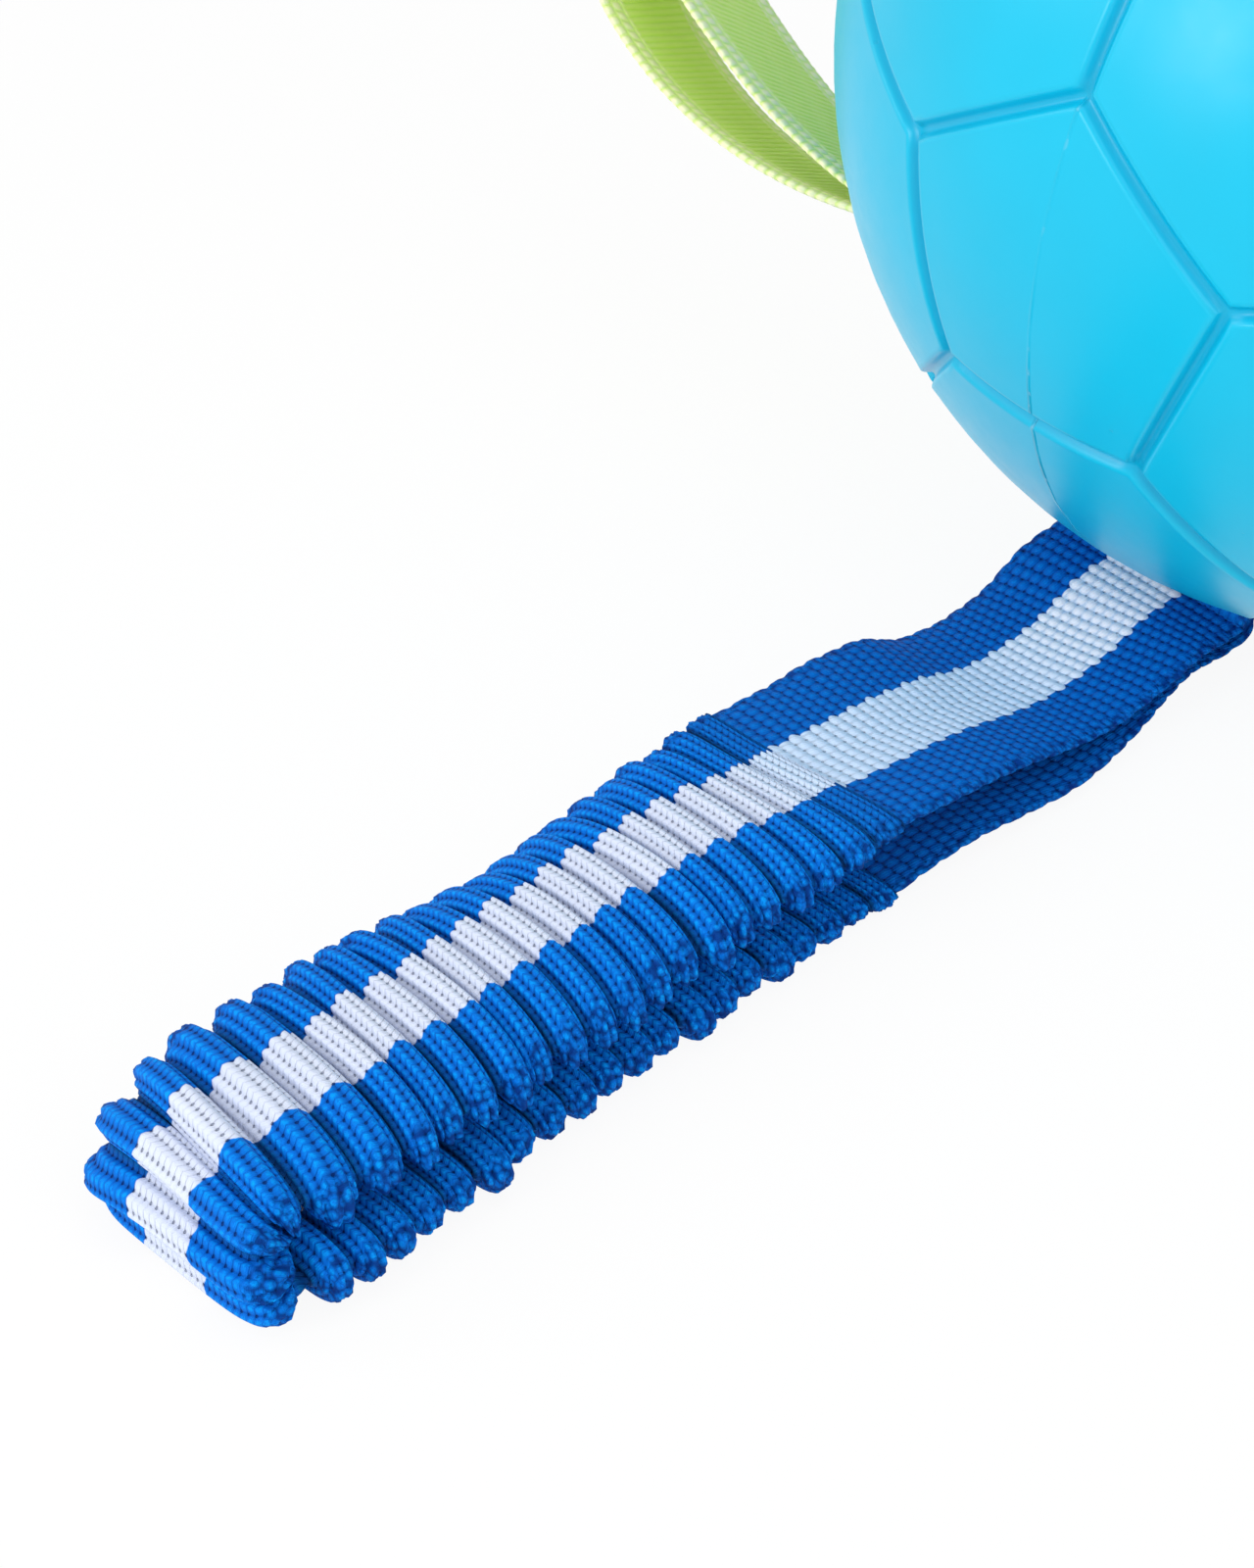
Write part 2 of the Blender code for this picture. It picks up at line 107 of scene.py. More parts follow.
class BallSettings(bpy.types.PropertyGroup):
    """Moulded rubber ball."""
    diameter: size("Diameter", "Outside diameter of the ball", 178 * MM)
    wall: size("Wall", "Thickness of the rubber", 4 * MM)
    seam_depth: size("Seam depth", "Depth of the grooves between the panels", 1.6 * MM)
    rest_patch: size("Rest patch", "Diameter of the flat that the ball stands on", 24 * MM)
    bond_line: size("Bond line", "Width of the flash where the halves are joined", 0.45 * MM)
    pitch: angle("Pitch", "How far the handle's slot is turned from straight down", 26.6)
    roll: angle("Roll", "How far the ball is rolled to its side", 8.4)
    yaw: angle("Yaw", "How far the ball is turned about the vertical", -2.6)
    rubber: colour("Rubber", "Colour of the moulded rubber", (0.0, 0.488, 0.72))
    # Colour of the mould marks, also used for the painted shade in the grooves between the panels
    mark: colour("Mark", "Colour of the small marks left by the mould", (0.0, 0.22, 0.42))


class HandleSettings(bpy.types.PropertyGroup):
    """Striped webbing handle, flat at the ball and gathered over elastic in the grip."""
    width: size("Width", "Width of the webbing", frame_size("handle_tail_upper", 1))
    thickness: size("Thickness", "Thickness of the webbing pressed flat", 2.4 * MM)
    pivot_height: size("Pivot height", "Height of the bend over the ball at the slot", 2.5 * MM)
    grip_length: size("Grip length", "Length of a gathered run", frame_size("grip_sleeve_upper", 0))
    loop_height: size("Loop height", "Height over both gathered runs", 20.6 * MM)
    run_thickness: size("Run thickness", "Thickness of a run over its gathers", 7.4 * MM)
    valley_thickness: size("Valley thickness", "Thickness of a run between gathers", 1.7 * MM)
    first_thickness: size("First thickness", "Thickness over the first gathers", 3.6 * MM)
    run_gathers: IntProperty(name="Run gathers", description="Gathers in a run", default=19)
    end_gathers: IntProperty(name="End gathers", description="Gathers round the end bend", default=5)
    gather_ribs: IntProperty(name="Gather ribs", description="Weft ribs over one gather", default=6)
    rib_pitch: size("Rib pitch", "Distance between weft ribs in the flat webbing", 2.3 * MM)
    rib_depth: size("Rib depth", "Height of a weft rib", 0.5 * MM)
    stripe: size("Stripe", "Width of the middle stripe", 12.6 * MM)
    web: colour("Webbing", "Colour of the webbing", (0.0, 0.16, 0.68))
    # Painted shade of the webbing in the gaps between its threads
    web_gap_shade: colour("Webbing gaps", "Colour of the webbing between its threads", (0.0, 0.035, 0.27))
    # Painted glint on the raised threads of the ribs
    web_painted_glint: colour("Webbing gloss", "Colour of the shiny threads on the ribs", (0.0, 0.36, 0.98))
    stripe_colour: colour("Stripe colour", "Colour of the middle stripe", (0.66, 0.72, 0.88))
    flat_stripe_colour: colour("Flat stripe colour", "Colour of the stripe where the weave is flat",
                               (0.58, 0.70, 0.89))
    # Painted light: the stripe's beads are painted whiter close to the ball, where the ball shades them
    slot_stripe_lit_colour: colour("Slot stripe colour", "Colour of the stripe's beads close to the ball",
                               (0.92, 0.92, 1.0))


class TabSettings(bpy.types.PropertyGroup):
    """Webbing loops set in the ball's seams."""
    width: size("Width", "Width of the webbing", 30 * MM)
    thickness: size("Thickness", "Thickness of the webbing", 1.6 * MM)
    length: size("Length", "Length of the loop out of the ball", 86 * MM)
    bulge: size("Bulge", "How far each side of the loop stands off its middle", 7.6 * MM)
    pivot_height: size("Pivot height", "Height of the bend over the ball at the slot", 1.8 * MM)
    lower_lean: angle("Lower lean", "Lean of the lower loops from straight out", 36.4)
    upper_lean: angle("Upper lean", "Lean of the upper loops from straight out", 18)
    lower_curl: size("Lower curl", "Radius to which the lower loops curl", 116 * MM)
    upper_curl: size("Upper curl", "Radius to which the upper loops curl", 180 * MM)
    web: colour("Webbing", "Colour of the webbing", (0.64, 0.95, 0.06))
    # Also the painted light on the twill's high threads
    edge: colour("Edge", "Colour of the selvedge and the twill's high threads", (0.98, 0.98, 0.42))
    bead: colour("Bead", "Colour of the beads along the selvedge", (1.0, 1.0, 0.62))


class StageSettings(bpy.types.PropertyGroup):
    """Floor, light and camera."""
    elevation: angle("Elevation", "Camera's height over the horizon", 34)
    azimuth: angle("Azimuth", "Camera's turn about the vertical", -47.8)
    distance: FloatVectorProperty(name="Camera place", default=(-1.3539, -1.2438, 7.143),
                                  description="Right, up and back from the ball's middle, in ball radii")
    lens: FloatProperty(name="Lens", description="Focal length in millimetres", default=95.87)
    floor: colour("Floor", "Colour of the floor", (0.93, 0.93, 0.93))
    key_power: power("Key light", "Power of the soft light off the handle's end", 4.2)
    top_power: power("Top light", "Power of the large soft light overhead", 2.4)
    front_power: power("Front light", "Power of the soft light near the camera", 4.0)
    rim_power: power("Rim light", "Power of the soft light behind the ball's left", 3.1)
    sky: FloatProperty(name="Sky", description="Strength of the plain white surroundings", default=0.6)


class TugBallSettings(bpy.types.PropertyGroup):
    """All settings of the tug ball."""
    ball: PointerProperty(type=BallSettings)
    handle: PointerProperty(type=HandleSettings)
    tabs: PointerProperty(type=TabSettings)
    stage: PointerProperty(type=StageSettings)


# Modelling helpers

ROUTE_STEPS = 40
# Share of a strap's columns on its outer face, which shows, and how they crowd at its edges
OUTER_SHARE = 0.64
EDGE_CROWDING = 1.5


def select_only(item):
    bpy.ops.object.select_all(action="DESELECT")
    bpy.context.view_layer.objects.active = item
    item.select_set(True)


@contextmanager
def editing(item, select="SELECT"):
    """Edit mode on one object, with all of its mesh selected or none of it."""
    select_only(item)
    bpy.ops.object.mode_set(mode="EDIT")
    bpy.ops.mesh.select_all(action=select)
    yield
    bpy.ops.object.mode_set(mode="OBJECT")


def new_piece(name):
    """Names the primitive that was just added."""
    item = bpy.context.active_object
    item.name = name
    item.data.name = name
    return item


def apply_modifier(item, kind, **settings):
    """Adds a modifier of a kind with its settings and applies it."""
    modifier = item.modifiers.new(kind.title(), kind)
    for key, value in settings.items():
        setattr(modifier, key, value)
    select_only(item)
    bpy.ops.object.modifier_apply(modifier=modifier.name)


def apply_place(item, matrix):
    """Moves the piece by the matrix and keeps the place in its mesh."""
    item.matrix_world = matrix @ item.matrix_world
    select_only(item)
    bpy.ops.object.transform_apply(location=True, rotation=True, scale=True)


def smoothstep(share):
    share = np.clip(share, 0.0, 1.0)
    return share * share * (3 - 2 * share)


def smooth_route(points, spacing):
    """Even points on a Catmull-Rom curve through the given ones, with their distances along it."""
    knots = np.array(points, float)
    knots = np.vstack([2 * knots[0] - knots[1], knots, 2 * knots[-1] - knots[-2]])
    dense = []
    f = np.linspace(0, 1, ROUTE_STEPS, endpoint=False)[:, None]
    for before, start, end, after in zip(knots, knots[1:], knots[2:], knots[3:]):
        dense.append(0.5 * (2 * start + (end - before) * f
                            + (2 * before - 5 * start + 4 * end - after) * f ** 2
                            + (3 * start - before - 3 * end + after) * f ** 3))
    dense = np.vstack(dense + [knots[-2:-1]])
    return even_steps(dense, spacing)


def run_along(line):
    """Distance of each point of a line from its start."""
    return np.concatenate([[0], np.cumsum(np.linalg.norm(np.diff(line, axis=0), axis=1))])


def even_steps(line, spacing):
    """Points a set distance apart along a line, and their distances from its start."""
    run = run_along(line)
    count = max(2, int(round(run[-1] / spacing)))
    places = np.linspace(0, run[-1], count + 1)
    return np.column_stack([np.interp(places, run, line[:, k]) for k in range(3)]), places


def unit(vectors):
    return vectors / np.linalg.norm(vectors, axis=-1, keepdims=True)


def section(columns, squareness):
    """Side and height, from -1 to 1, round a flattened tube from edge to edge and back."""
    outer = int(columns * OUTER_SHARE)
    inner = columns - outer
    share = np.concatenate([np.linspace(-1, 1, outer + 1), np.linspace(1, -1, inner + 1)[1:]])
    side = np.sign(share) * (1 - (1 - np.abs(share)) ** EDGE_CROWDING)
    top = np.concatenate([np.ones(outer + 1), -np.ones(inner)])
    height = top * np.sqrt(np.clip(1 - np.abs(side) ** squareness, 0, 1))
    return side, height


def cloth_sides(rings):
    """Distance over the cloth from the middle of each face, for every point of the rings."""
    steps = np.linalg.norm(np.diff(rings, axis=1), axis=2)
    run = np.concatenate([np.zeros((len(rings), 1)), np.cumsum(steps, axis=1)], axis=1)
    outer = int((rings.shape[1] - 1) * OUTER_SHARE)
    sides = run - run[:, outer:outer + 1] / 2
    sides[:, outer:] = (run[:, outer:outer + 1] + run[:, -1:]) / 2 - run[:, outer:]
    return sides


def woven_tube(name, rings, ribs, rib_depth, material):
    """A closed tube of cloth through rings of points, its weft ribs raised by a Displace modifier.

    rings is an array of rows, columns and coordinates whose last column repeats the first, and
    ribs gives the rib count at each row.
    """
    sides = cloth_sides(rings)
    rows, columns = rings.shape[0] - 1, rings.shape[1] - 1
    bpy.ops.mesh.primitive_grid_add(x_subdivisions=columns, y_subdivisions=rows, size=1)
    tube = new_piece(name)
    mesh = tube.data
    flat = np.empty(len(mesh.vertices) * 3, np.float32)
    mesh.vertices.foreach_get("co", flat)
    flat = flat.reshape(-1, 3) + 0.5
    column = np.rint(flat[:, 0] * columns).astype(int)
    row = np.rint(flat[:, 1] * rows).astype(int)
    mesh.vertices.foreach_set("co", rings[row, column].astype(np.float32).ravel())

    corner = np.empty(len(mesh.loops), int)
    mesh.loops.foreach_get("vertex_index", corner)
    weave = np.column_stack([ribs[row], sides[row, column] / MM])[corner]
    layer = mesh.uv_layers.active or mesh.uv_layers.new()
    layer.name = "weave"
    layer.data.foreach_set("uv", weave.astype(np.float32).ravel())

    group = tube.vertex_groups.new(name="ribs")
    heights = 0.5 - 0.5 * np.cos(2 * math.pi * ribs)
    for place in range(rows + 1):
        group.add(np.nonzero(row == place)[0].tolist(), float(heights[place]), "REPLACE")
    with editing(tube):
        bpy.ops.mesh.remove_doubles(threshold=1e-7)
        bpy.ops.mesh.fill_holes(sides=0)
        bpy.ops.mesh.normals_make_consistent(inside=False)
    apply_modifier(tube, "DISPLACE", vertex_group="ribs", mid_level=0.5, strength=rib_depth)
    bpy.ops.object.shade_smooth()
    mesh.materials.append(material)
    return tube


def strap_rings(line, across, up, half_width, half_height, columns, squareness, inner_share=1.0):
    """Rings of a strap along a line, with its width and thickness directions at each point."""
    side, height = section(columns, squareness)
    half_width, half_height, inner_share = (np.broadcast_to(value, len(line))[:, None]
                                            for value in (half_width, half_height, inner_share))
    wide = across[:, None] * (half_width * side[None, :])[..., None]
    level = half_height * np.where(height < 0, inner_share * height, height)
    return line[:, None] + wide + up[:, None] * level[..., None]


# Places on the ball

def ball_matrix(ball):
    """The ball's middle, with the handle's slot at its -Z and the bond plane across its Y."""
    radius = ball.diameter / 2
    height = math.sqrt(radius ** 2 - (ball.rest_patch / 2) ** 2)
    lie = Matrix.Rotation(ball.yaw, 4, "Z") @ Matrix.Rotation(ball.roll, 4, "X")
    lie = lie @ Matrix.Rotation(ball.pitch, 4, "Y")
    return Matrix.Translation((0, 0, height)) @ lie


def bond_normal(ball):
    """The direction across the plane where the halves are joined."""
    return ball_matrix(ball).to_3x3() @ Vector((0, 1, 0))


def socket_matrix(outward, lean_to):
    """Axes of a strap's slot at the ball's middle: X out through it, Z the way the strap leans."""
    across = lean_to.cross(outward)
    return Matrix((outward, across, lean_to)).transposed().to_4x4()


def handle_socket(settings):
    return ball_matrix(settings.ball) @ socket_matrix(Vector((0, 0, -1)), Vector((-1, 0, 0)))


def tab_sockets(settings):
    """Label, slot axes, lean and curl of each grab tab; the slots lie in pentagon seams."""
    golden = (1 + math.sqrt(5)) / 2
    pentagon = Vector((0, 1, golden))
    beside = (Vector((1, golden, 0)), Vector((-1, golden, 0)))
    seat = sum(((2 * pentagon + other) / 3 for other in beside), Vector()).normalized()
    tabs = settings.tabs
    for row, up, lean, curl in (("lower", -1, tabs.lower_lean, tabs.lower_curl),
                                ("upper", 1, tabs.upper_lean, tabs.upper_curl)):
        for place, back in (("rear", 1), ("front", -1)):
            outward = Vector((0, back * seat.y, up * seat.z))
            lean_to = Vector((0, back * seat.z, -up * seat.y))
            socket = ball_matrix(settings.ball) @ socket_matrix(outward, lean_to)
            yield f"tab_{place}_{row}", socket, lean, curl


def bend_place(settings, strap):
    """Distance from the ball's middle to a strap's bend over its slot."""
    return settings.ball.diameter / 2 + strap.pivot_height


def handle_pivot(settings):
    return handle_socket(settings) @ Vector((bend_place(settings, settings.handle), 0, 0))


# Finishes

class Value:
    """A number or colour that varies over a surface; arithmetic on it adds Math nodes."""

    def __init__(self, finish, socket):
        self.finish = finish
        self.socket = socket

    def math(self, operation, *others):
        settings = {"operation": operation}
        return self.finish.add("ShaderNodeMath", settings, dict(enumerate((self, *others))))

    def __add__(self, other):
        return self.math("ADD", other)

    __radd__ = __add__

    def __sub__(self, other):
        return self.math("SUBTRACT", other)

    def __rsub__(self, other):
        return (self * -1).math("ADD", other)

    def __mul__(self, other):
        return self.math("MULTIPLY", other)

    __rmul__ = __mul__

    def __truediv__(self, other):
        return self.math("DIVIDE", other)

    def __abs__(self):
        return self.math("ABSOLUTE")

    def __pow__(self, other):
        return self.math("POWER", other)

    def wave(self):
        """A sine that repeats once for each unit."""
        return (self * (2 * math.pi)).math("SINE")

    def humps(self):
        """Round humps, one for each unit."""
        return abs((self * 0.5).wave())

    def whole(self):
        return self.math("FLOOR")

    def nearest(self):
        return self.math("ROUND")

    def ramp(self, low, high):
        """0 below low, 1 above high and smooth between them; low may be the larger."""
        inputs = {"Value": self, "From Min": low, "From Max": high}
        return self.finish.add("ShaderNodeMapRange", {"interpolation_type": "SMOOTHSTEP"}, inputs)


class Finish:
    """The node tree of a material or a world; add makes any node."""

    def __init__(self, owner, surface="Principled BSDF"):
        owner.use_nodes = True
        self.owner = owner
        self.tree = owner.node_tree
        self.surface = self.tree.nodes[surface]

    def add(self, kind, settings=None, inputs=None, output=0):
        node = self.tree.nodes.new(kind)
        for key, value in (settings or {}).items():
            setattr(node, key, value)
        for key, value in (inputs or {}).items():
            self.feed(node.inputs[key], value)
        return Value(self, node.outputs[output])

    def feed(self, socket, value):
        if isinstance(value, Value):
            self.tree.links.new(value.socket, socket)
        else:
            socket.default_value = value

    def set(self, **values):
        for key, value in values.items():
            self.feed(self.surface.inputs[key.replace("_", " ")], value)

    def mix(self, factor, first, second):
        """A colour between two, each a Value or a tuple."""
        pair = [item if isinstance(item, Value) else (*item[:3], 1.0) for item in (first, second)]
        inputs = {0: factor, 6: pair[0], 7: pair[1]}
        return self.add("ShaderNodeMix", {"data_type": "RGBA"}, inputs, output=2)

    def noise(self, coordinates, scale, detail=2.0, roughness=0.5):
        inputs = {"Vector": coordinates, "Scale": scale, "Detail": detail, "Roughness": roughness}
        return self.add("ShaderNodeTexNoise", {}, inputs)

    def cells(self, coordinates, scale, randomness):
        inputs = {"Vector": coordinates, "Scale": scale, "Randomness": randomness}
        return self.add("ShaderNodeTexVoronoi", {"feature": "F1"}, inputs)

    def measure(self, operation, first, second):
        """A number from two vectors."""
        inputs = {0: first, 1: second}
        return self.add("ShaderNodeVectorMath", {"operation": operation}, inputs, output=1)

    def place(self):
        return self.add("ShaderNodeTexCoord", {}, {}, output=3)

    def weave(self):
        """Rib count along the cloth and millimetres from its middle."""
        coordinates = self.add("ShaderNodeUVMap", {"uv_map": "weave"})
        along = self.add("ShaderNodeSeparateXYZ", {}, {"Vector": coordinates})
        return along, Value(self, along.socket.node.outputs[1])

    def bump(self, height, distance):
        inputs = {"Height": height, "Distance": distance, "Strength": 1.0}
        return self.add("ShaderNodeBump", {}, inputs)

    def in_view(self):
        """1 where the camera looks, straight or by reflection, and 0 for light on other surfaces."""
        outputs = self.add("ShaderNodeLightPath").socket.node.outputs
        rays = ("Is Camera Ray", "Is Glossy Ray", "Is Transmission Ray")
        return sum(Value(self, outputs[ray]) for ray in rays).math("MINIMUM", 1.0)


# Width of a stitch of the handle's webbing in millimetres, in the grip and in the tails
GATHERED_STITCH = 1.24
FLAT_STITCH = 1.75
# Share of the floor's look that is plain white
FLOOR_GLOW = 0.92
# Pale flecks on the bond's flash, and the heights between which the flash fades
BOND_FLECK = (0.75, 0.88, 0.95)
BOND_FADE = (74 * MM, 58 * MM)
# Colour of the painted shadow in the stripe's holes, valleys and knot gaps
STRIPE_SHADOW = (0.10, 0.14, 0.30)


def new_finish(name):
    return Finish(bpy.data.materials.new(name))


def shade(colour_value, factor):
    return tuple(part * factor for part in colour_value)


def rubber_finish(ball):
    """Satin moulded rubber with the bond line, mould marks, painted shade in the grooves and faint
    scuffs.
    """
    finish = new_finish("satin_rubber")
    place = finish.place()
    lie = ball_matrix(ball)
    across = bond_normal(ball)
    level = finish.measure("DOT_PRODUCT", place, across)
    wander = finish.noise(place, 90.0, 1.0) - 0.5
    off_bond = abs(level - across.dot(lie.translation) + wander * (0.35 * MM))
    height = finish.add("ShaderNodeSeparateXYZ", {}, {"Vector": place}, output=2)
    bond = off_bond.ramp(ball.bond_line, 0.0) * (height.ramp(*BOND_FADE) * 0.8 + 0.2)
    broad = finish.noise(place, 18.0, 3.0)
    patches = finish.noise(place, 70.0, 2.0).ramp(0.45, 0.7)
    scuff = finish.noise(place, 260.0, 5.0, 0.65)
    speck = finish.cells(place, 75.0, 1.0).ramp(0.035, 0.02)
    tone = finish.mix(broad.ramp(0.3, 0.7), shade(ball.rubber, 0.97), shade(ball.rubber, 1.03))
    # Painted shade: the base colour darkens towards the mark colour in the grooves between the panels
    radius = finish.measure("DISTANCE", place, lie.translation)
    painted_groove_shade = radius.ramp(ball.diameter / 2 - 0.15 * MM, ball.diameter / 2 - ball.seam_depth)
    tone = finish.mix(painted_groove_shade * 0.22, tone, ball.mark)
    flecks = finish.noise(place, 420.0, 2.0).ramp(0.56, 0.66)
    tone = finish.mix(bond * (patches * 0.35 + 0.15), tone, ball.mark)
    tone = finish.mix(bond * (patches * 0.7 + 0.3) * flecks * 0.9, tone, BOND_FLECK)
    tone = finish.mix(speck * 0.10, tone, ball.mark)
    finish.set(Base_Color=tone)
    finish.set(Roughness=0.25 + scuff * 0.14 + broad * 0.05)
    finish.set(Specular_IOR_Level=0.32)
    relief = scuff * 0.018 + bond * (0.2 + patches * 0.4) - speck * 0.04
    finish.set(Normal=finish.bump(relief, MM))
    return finish.owner


def web_tone(finish, handle, raised, fuzz, tone, glint_share):
    """Blue threads: painted shade deep between them, painted glints on the ribs."""
    web = finish.mix(raised.ramp(0.05, 0.75), shade(handle.web_gap_shade, tone),
                     shade(handle.web, 1.05 * tone))
    return finish.mix(raised.ramp(0.7, 1.0) * fuzz.ramp(0.25, 0.7) * glint_share, web, handle.web_painted_glint)


def stripe_lit_and_shaded(finish, raised, pale):
    """Pale threads of the middle stripe: painted shade on their low parts, painted light on their raised
    parts.
    """
    return finish.mix(raised.ramp(0.1, 0.8), shade(pale, 0.84), shade(pale, 1.08))


def webbing_finish(name, handle, gathered):
    """Blue webbing with a white stripe: beaded weft ribs, slanted stitches and needle holes, with
    painted shade in the holes, the valleys and between the selvedge knots.
    """
    finish = new_finish(name)
    along, side = finish.weave()
    place = finish.place()
    rib = along.humps()
    from_seam = abs(along - along.nearest())
    if gathered:
        pitch, flatness, ribbed = GATHERED_STITCH, 0.5, 0.6
        lean = from_seam * 0.8
        gather = along / handle.gather_ribs
        valley = abs(gather - gather.nearest()).ramp(0.25, 0.03)
        jag = (rib - 0.5) * 0.55 - valley * 0.9
    else:
        pitch, flatness, ribbed = FLAT_STITCH, 1.0, 0.5
        lean = along.whole() * 0.5
        jag = (along * 0.5).wave() * 0.3 + rib ** 0.5 * 0.7
    stitch = side / pitch
    bead = (stitch + lean).humps() ** flatness
    thread = ((stitch + lean) * 4.0 + along).wave()
    off_stitch = abs(stitch - stitch.nearest()) * pitch
    off_seam = from_seam * handle.rib_pitch / MM
    hole = (off_stitch * off_stitch * 1.6 + off_seam * off_seam).ramp(0.08, 0.012)

    fuzz = finish.noise(place, 1500.0, 3.0)
    patchy = finish.noise(place, 120.0, 2.0)
    border = abs(side) - jag - (patchy - 0.5) * 0.5
    half_stripe = handle.stripe / 2 / MM
    in_stripe = border.ramp(half_stripe + 0.12, half_stripe - 0.12)
    half_width = handle.width / 2 / MM
    edge = abs(side).ramp(half_width - 2.8, half_width - 0.8)
    knot = finish.cells(place, 760.0, 0.9).ramp(0.85, 0.2)

    woven = rib * ribbed + bead * (1 - ribbed)
    raised = woven * (1 - edge * 0.75) + knot * edge * 0.75
    web = web_tone(finish, handle, raised, fuzz, 0.73, 0.25)
    white = stripe_lit_and_shaded(finish, raised, handle.flat_stripe_colour)
    if gathered:
        begun = along.ramp(1.0, 2.4 * handle.gather_ribs)
        web = finish.mix(begun, web, web_tone(finish, handle, raised, fuzz, 0.98, 0.85))
        white = finish.mix(begun, white, stripe_lit_and_shaded(finish, raised, handle.stripe_colour))
        # Painted shade in the needle holes, in the valleys between gathers and in the gaps between the
        # selvedge knots
        painted_shade = hole * (0.3 + in_stripe * 0.18) + valley * (0.85 - in_stripe * 0.6)
        painted_shade = painted_shade + edge * knot.ramp(0.4, 0.1) * 0.3
    else:
        # Painted light: close to the ball the stripe's raised beads are painted whiter
        lit_stripe_at_slot = finish.mix(raised.ramp(0.25, 0.85), handle.flat_stripe_colour,
                             handle.slot_stripe_lit_colour)
        white = finish.mix(along.ramp(12.0, 23.0), lit_stripe_at_slot, white)
        # Painted shade in the needle holes
        painted_shade = hole * (0.25 + in_stripe * 0.05)
    cloth = finish.mix(in_stripe, web, white)
    shadow = finish.mix(in_stripe, shade(handle.web, 0.15), STRIPE_SHADOW)
    finish.set(Base_Color=finish.mix(painted_shade, cloth, shadow))
    finish.set(Roughness=0.56 + fuzz * 0.2)
    finish.set(Specular_IOR_Level=0.08)
    relief = (woven * 0.36 - hole * 0.35) * (1 - edge * 0.6) + knot * edge * 0.5
    relief = relief + fuzz * 0.06 + thread * 0.02
    finish.set(Normal=finish.bump(relief, 1.2 * MM))
    return finish.owner


def tab_finish(tabs):
    """Lime twill webbing with a beaded selvedge and painted light on the twill's high threads."""
    finish = new_finish("lime_twill")
    along, side = finish.weave()
    place = finish.place()
    fuzz = finish.noise(place, 1400.0, 3.0)
    twill = (along * 0.9 - side * 0.14).humps()
    threads = (side / 0.62).humps()
    half_width = tabs.width / 2 / MM
    in_edge = abs(side).ramp(half_width - 6.2, half_width - 4.8)
    row = (half_width + 0.8 - abs(side)) / 2.7
    bead = (along * 0.6 + row.whole() * 0.5).humps() * row.humps()
    face = twill * 0.7 + threads * 0.3
    raised = face * (1 - in_edge) + bead * in_edge
    # Painted light: the twill's high threads are paler
    tone = finish.mix(face.ramp(0.25, 0.85) * 0.32 + 0.06, tabs.web, tabs.edge)
    beads = finish.mix(bead.ramp(0.05, 0.8) * 0.6 + 0.4, tabs.web, tabs.bead)
    tone = finish.mix(in_edge, tone, beads)
    finish.set(Base_Color=finish.mix((fuzz - 0.5) * 0.3 + 0.1, tone, tabs.bead))
    finish.set(Roughness=0.6 + fuzz * 0.2)
    finish.set(Sheen_Weight=0.3, Sheen_Roughness=0.4, Specular_IOR_Level=0.25)
    finish.set(Normal=finish.bump(raised * (0.22 + in_edge * 0.1) + fuzz * 0.04, MM))
    return finish.owner


def elastic_finish():
    """Plain braided elastic."""
    finish = new_finish("braided_elastic")
    along, side = finish.weave()
    braid = (along + side * 0.7).humps() * (along - side * 0.7).humps()
    finish.set(Base_Color=finish.mix(braid, (0.55, 0.55, 0.53), (0.86, 0.86, 0.84)))
    finish.set(Roughness=0.75, Normal=finish.bump(braid * 0.25, MM))
    return finish.owner


def nylon_finish():
    """Plain nylon rod with a drawn surface."""
    finish = new_finish("drawn_nylon")
    grain = finish.noise(finish.place(), 700.0, 3.0)
    finish.set(Base_Color=finish.mix(grain, (0.70, 0.70, 0.67), (0.82, 0.82, 0.79)))
    finish.set(Roughness=0.38 + grain * 0.15, Normal=finish.bump(grain * 0.05, MM))
    return finish.owner


def floor_finish(stage):
    """Pale floor that looks white to the camera and keeps the soft shadow."""
    finish = new_finish("white_floor")
    finish.set(Base_Color=(*stage.floor, 1.0), Roughness=0.95)
    glow = finish.add("ShaderNodeEmission", {}, {"Color": (1, 1, 1, 1), "Strength": 1.0})
    output = finish.tree.nodes["Material Output"]
    lit = Value(finish, finish.surface.outputs[0])
    seen = finish.in_view() * FLOOR_GLOW
    blend = finish.add("ShaderNodeMixShader", {}, {0: seen, 1: lit, 2: glow})
    finish.tree.links.new(blend.socket, output.inputs["Surface"])
    return finish.owner


# Ball

# Share of the seam's depth over the panels, then steps from a seam into a panel in millimetres,
# with the share after each
SEAM_RIM = 0.06
SEAM_PROFILE = ((0.30, 0.97), (0.30, 0.80), (0.30, 0.46), (0.28, 0.14), (0.30, 0.0), (0.50, 0.015),
                (0.90, 0.05))
PANEL_STEPS = (1.2, 2.4, 3.4, 4.4, 4.4)
PANEL_CUTS = 11
# Slots: room beside a strap, room over it and depth of the cut
SLOT_ROOM = 1.2 * MM
SLOT_GAP = 1.5 * MM
SLOT_DEPTH = 16 * MM
SHARP_ANGLE = math.radians(50)


def square_up(ball):
    """Turns the icosahedron so that an edge lies across its top, along Y."""
    edge = ball.data.edges[0]
    first, second = (ball.data.vertices[k].co.normalized() for k in edge.vertices)
    top = (first + second).normalized()
    along = (first - second).normalized()
    apply_place(ball, Matrix((along.cross(top), along, top)).to_4x4())


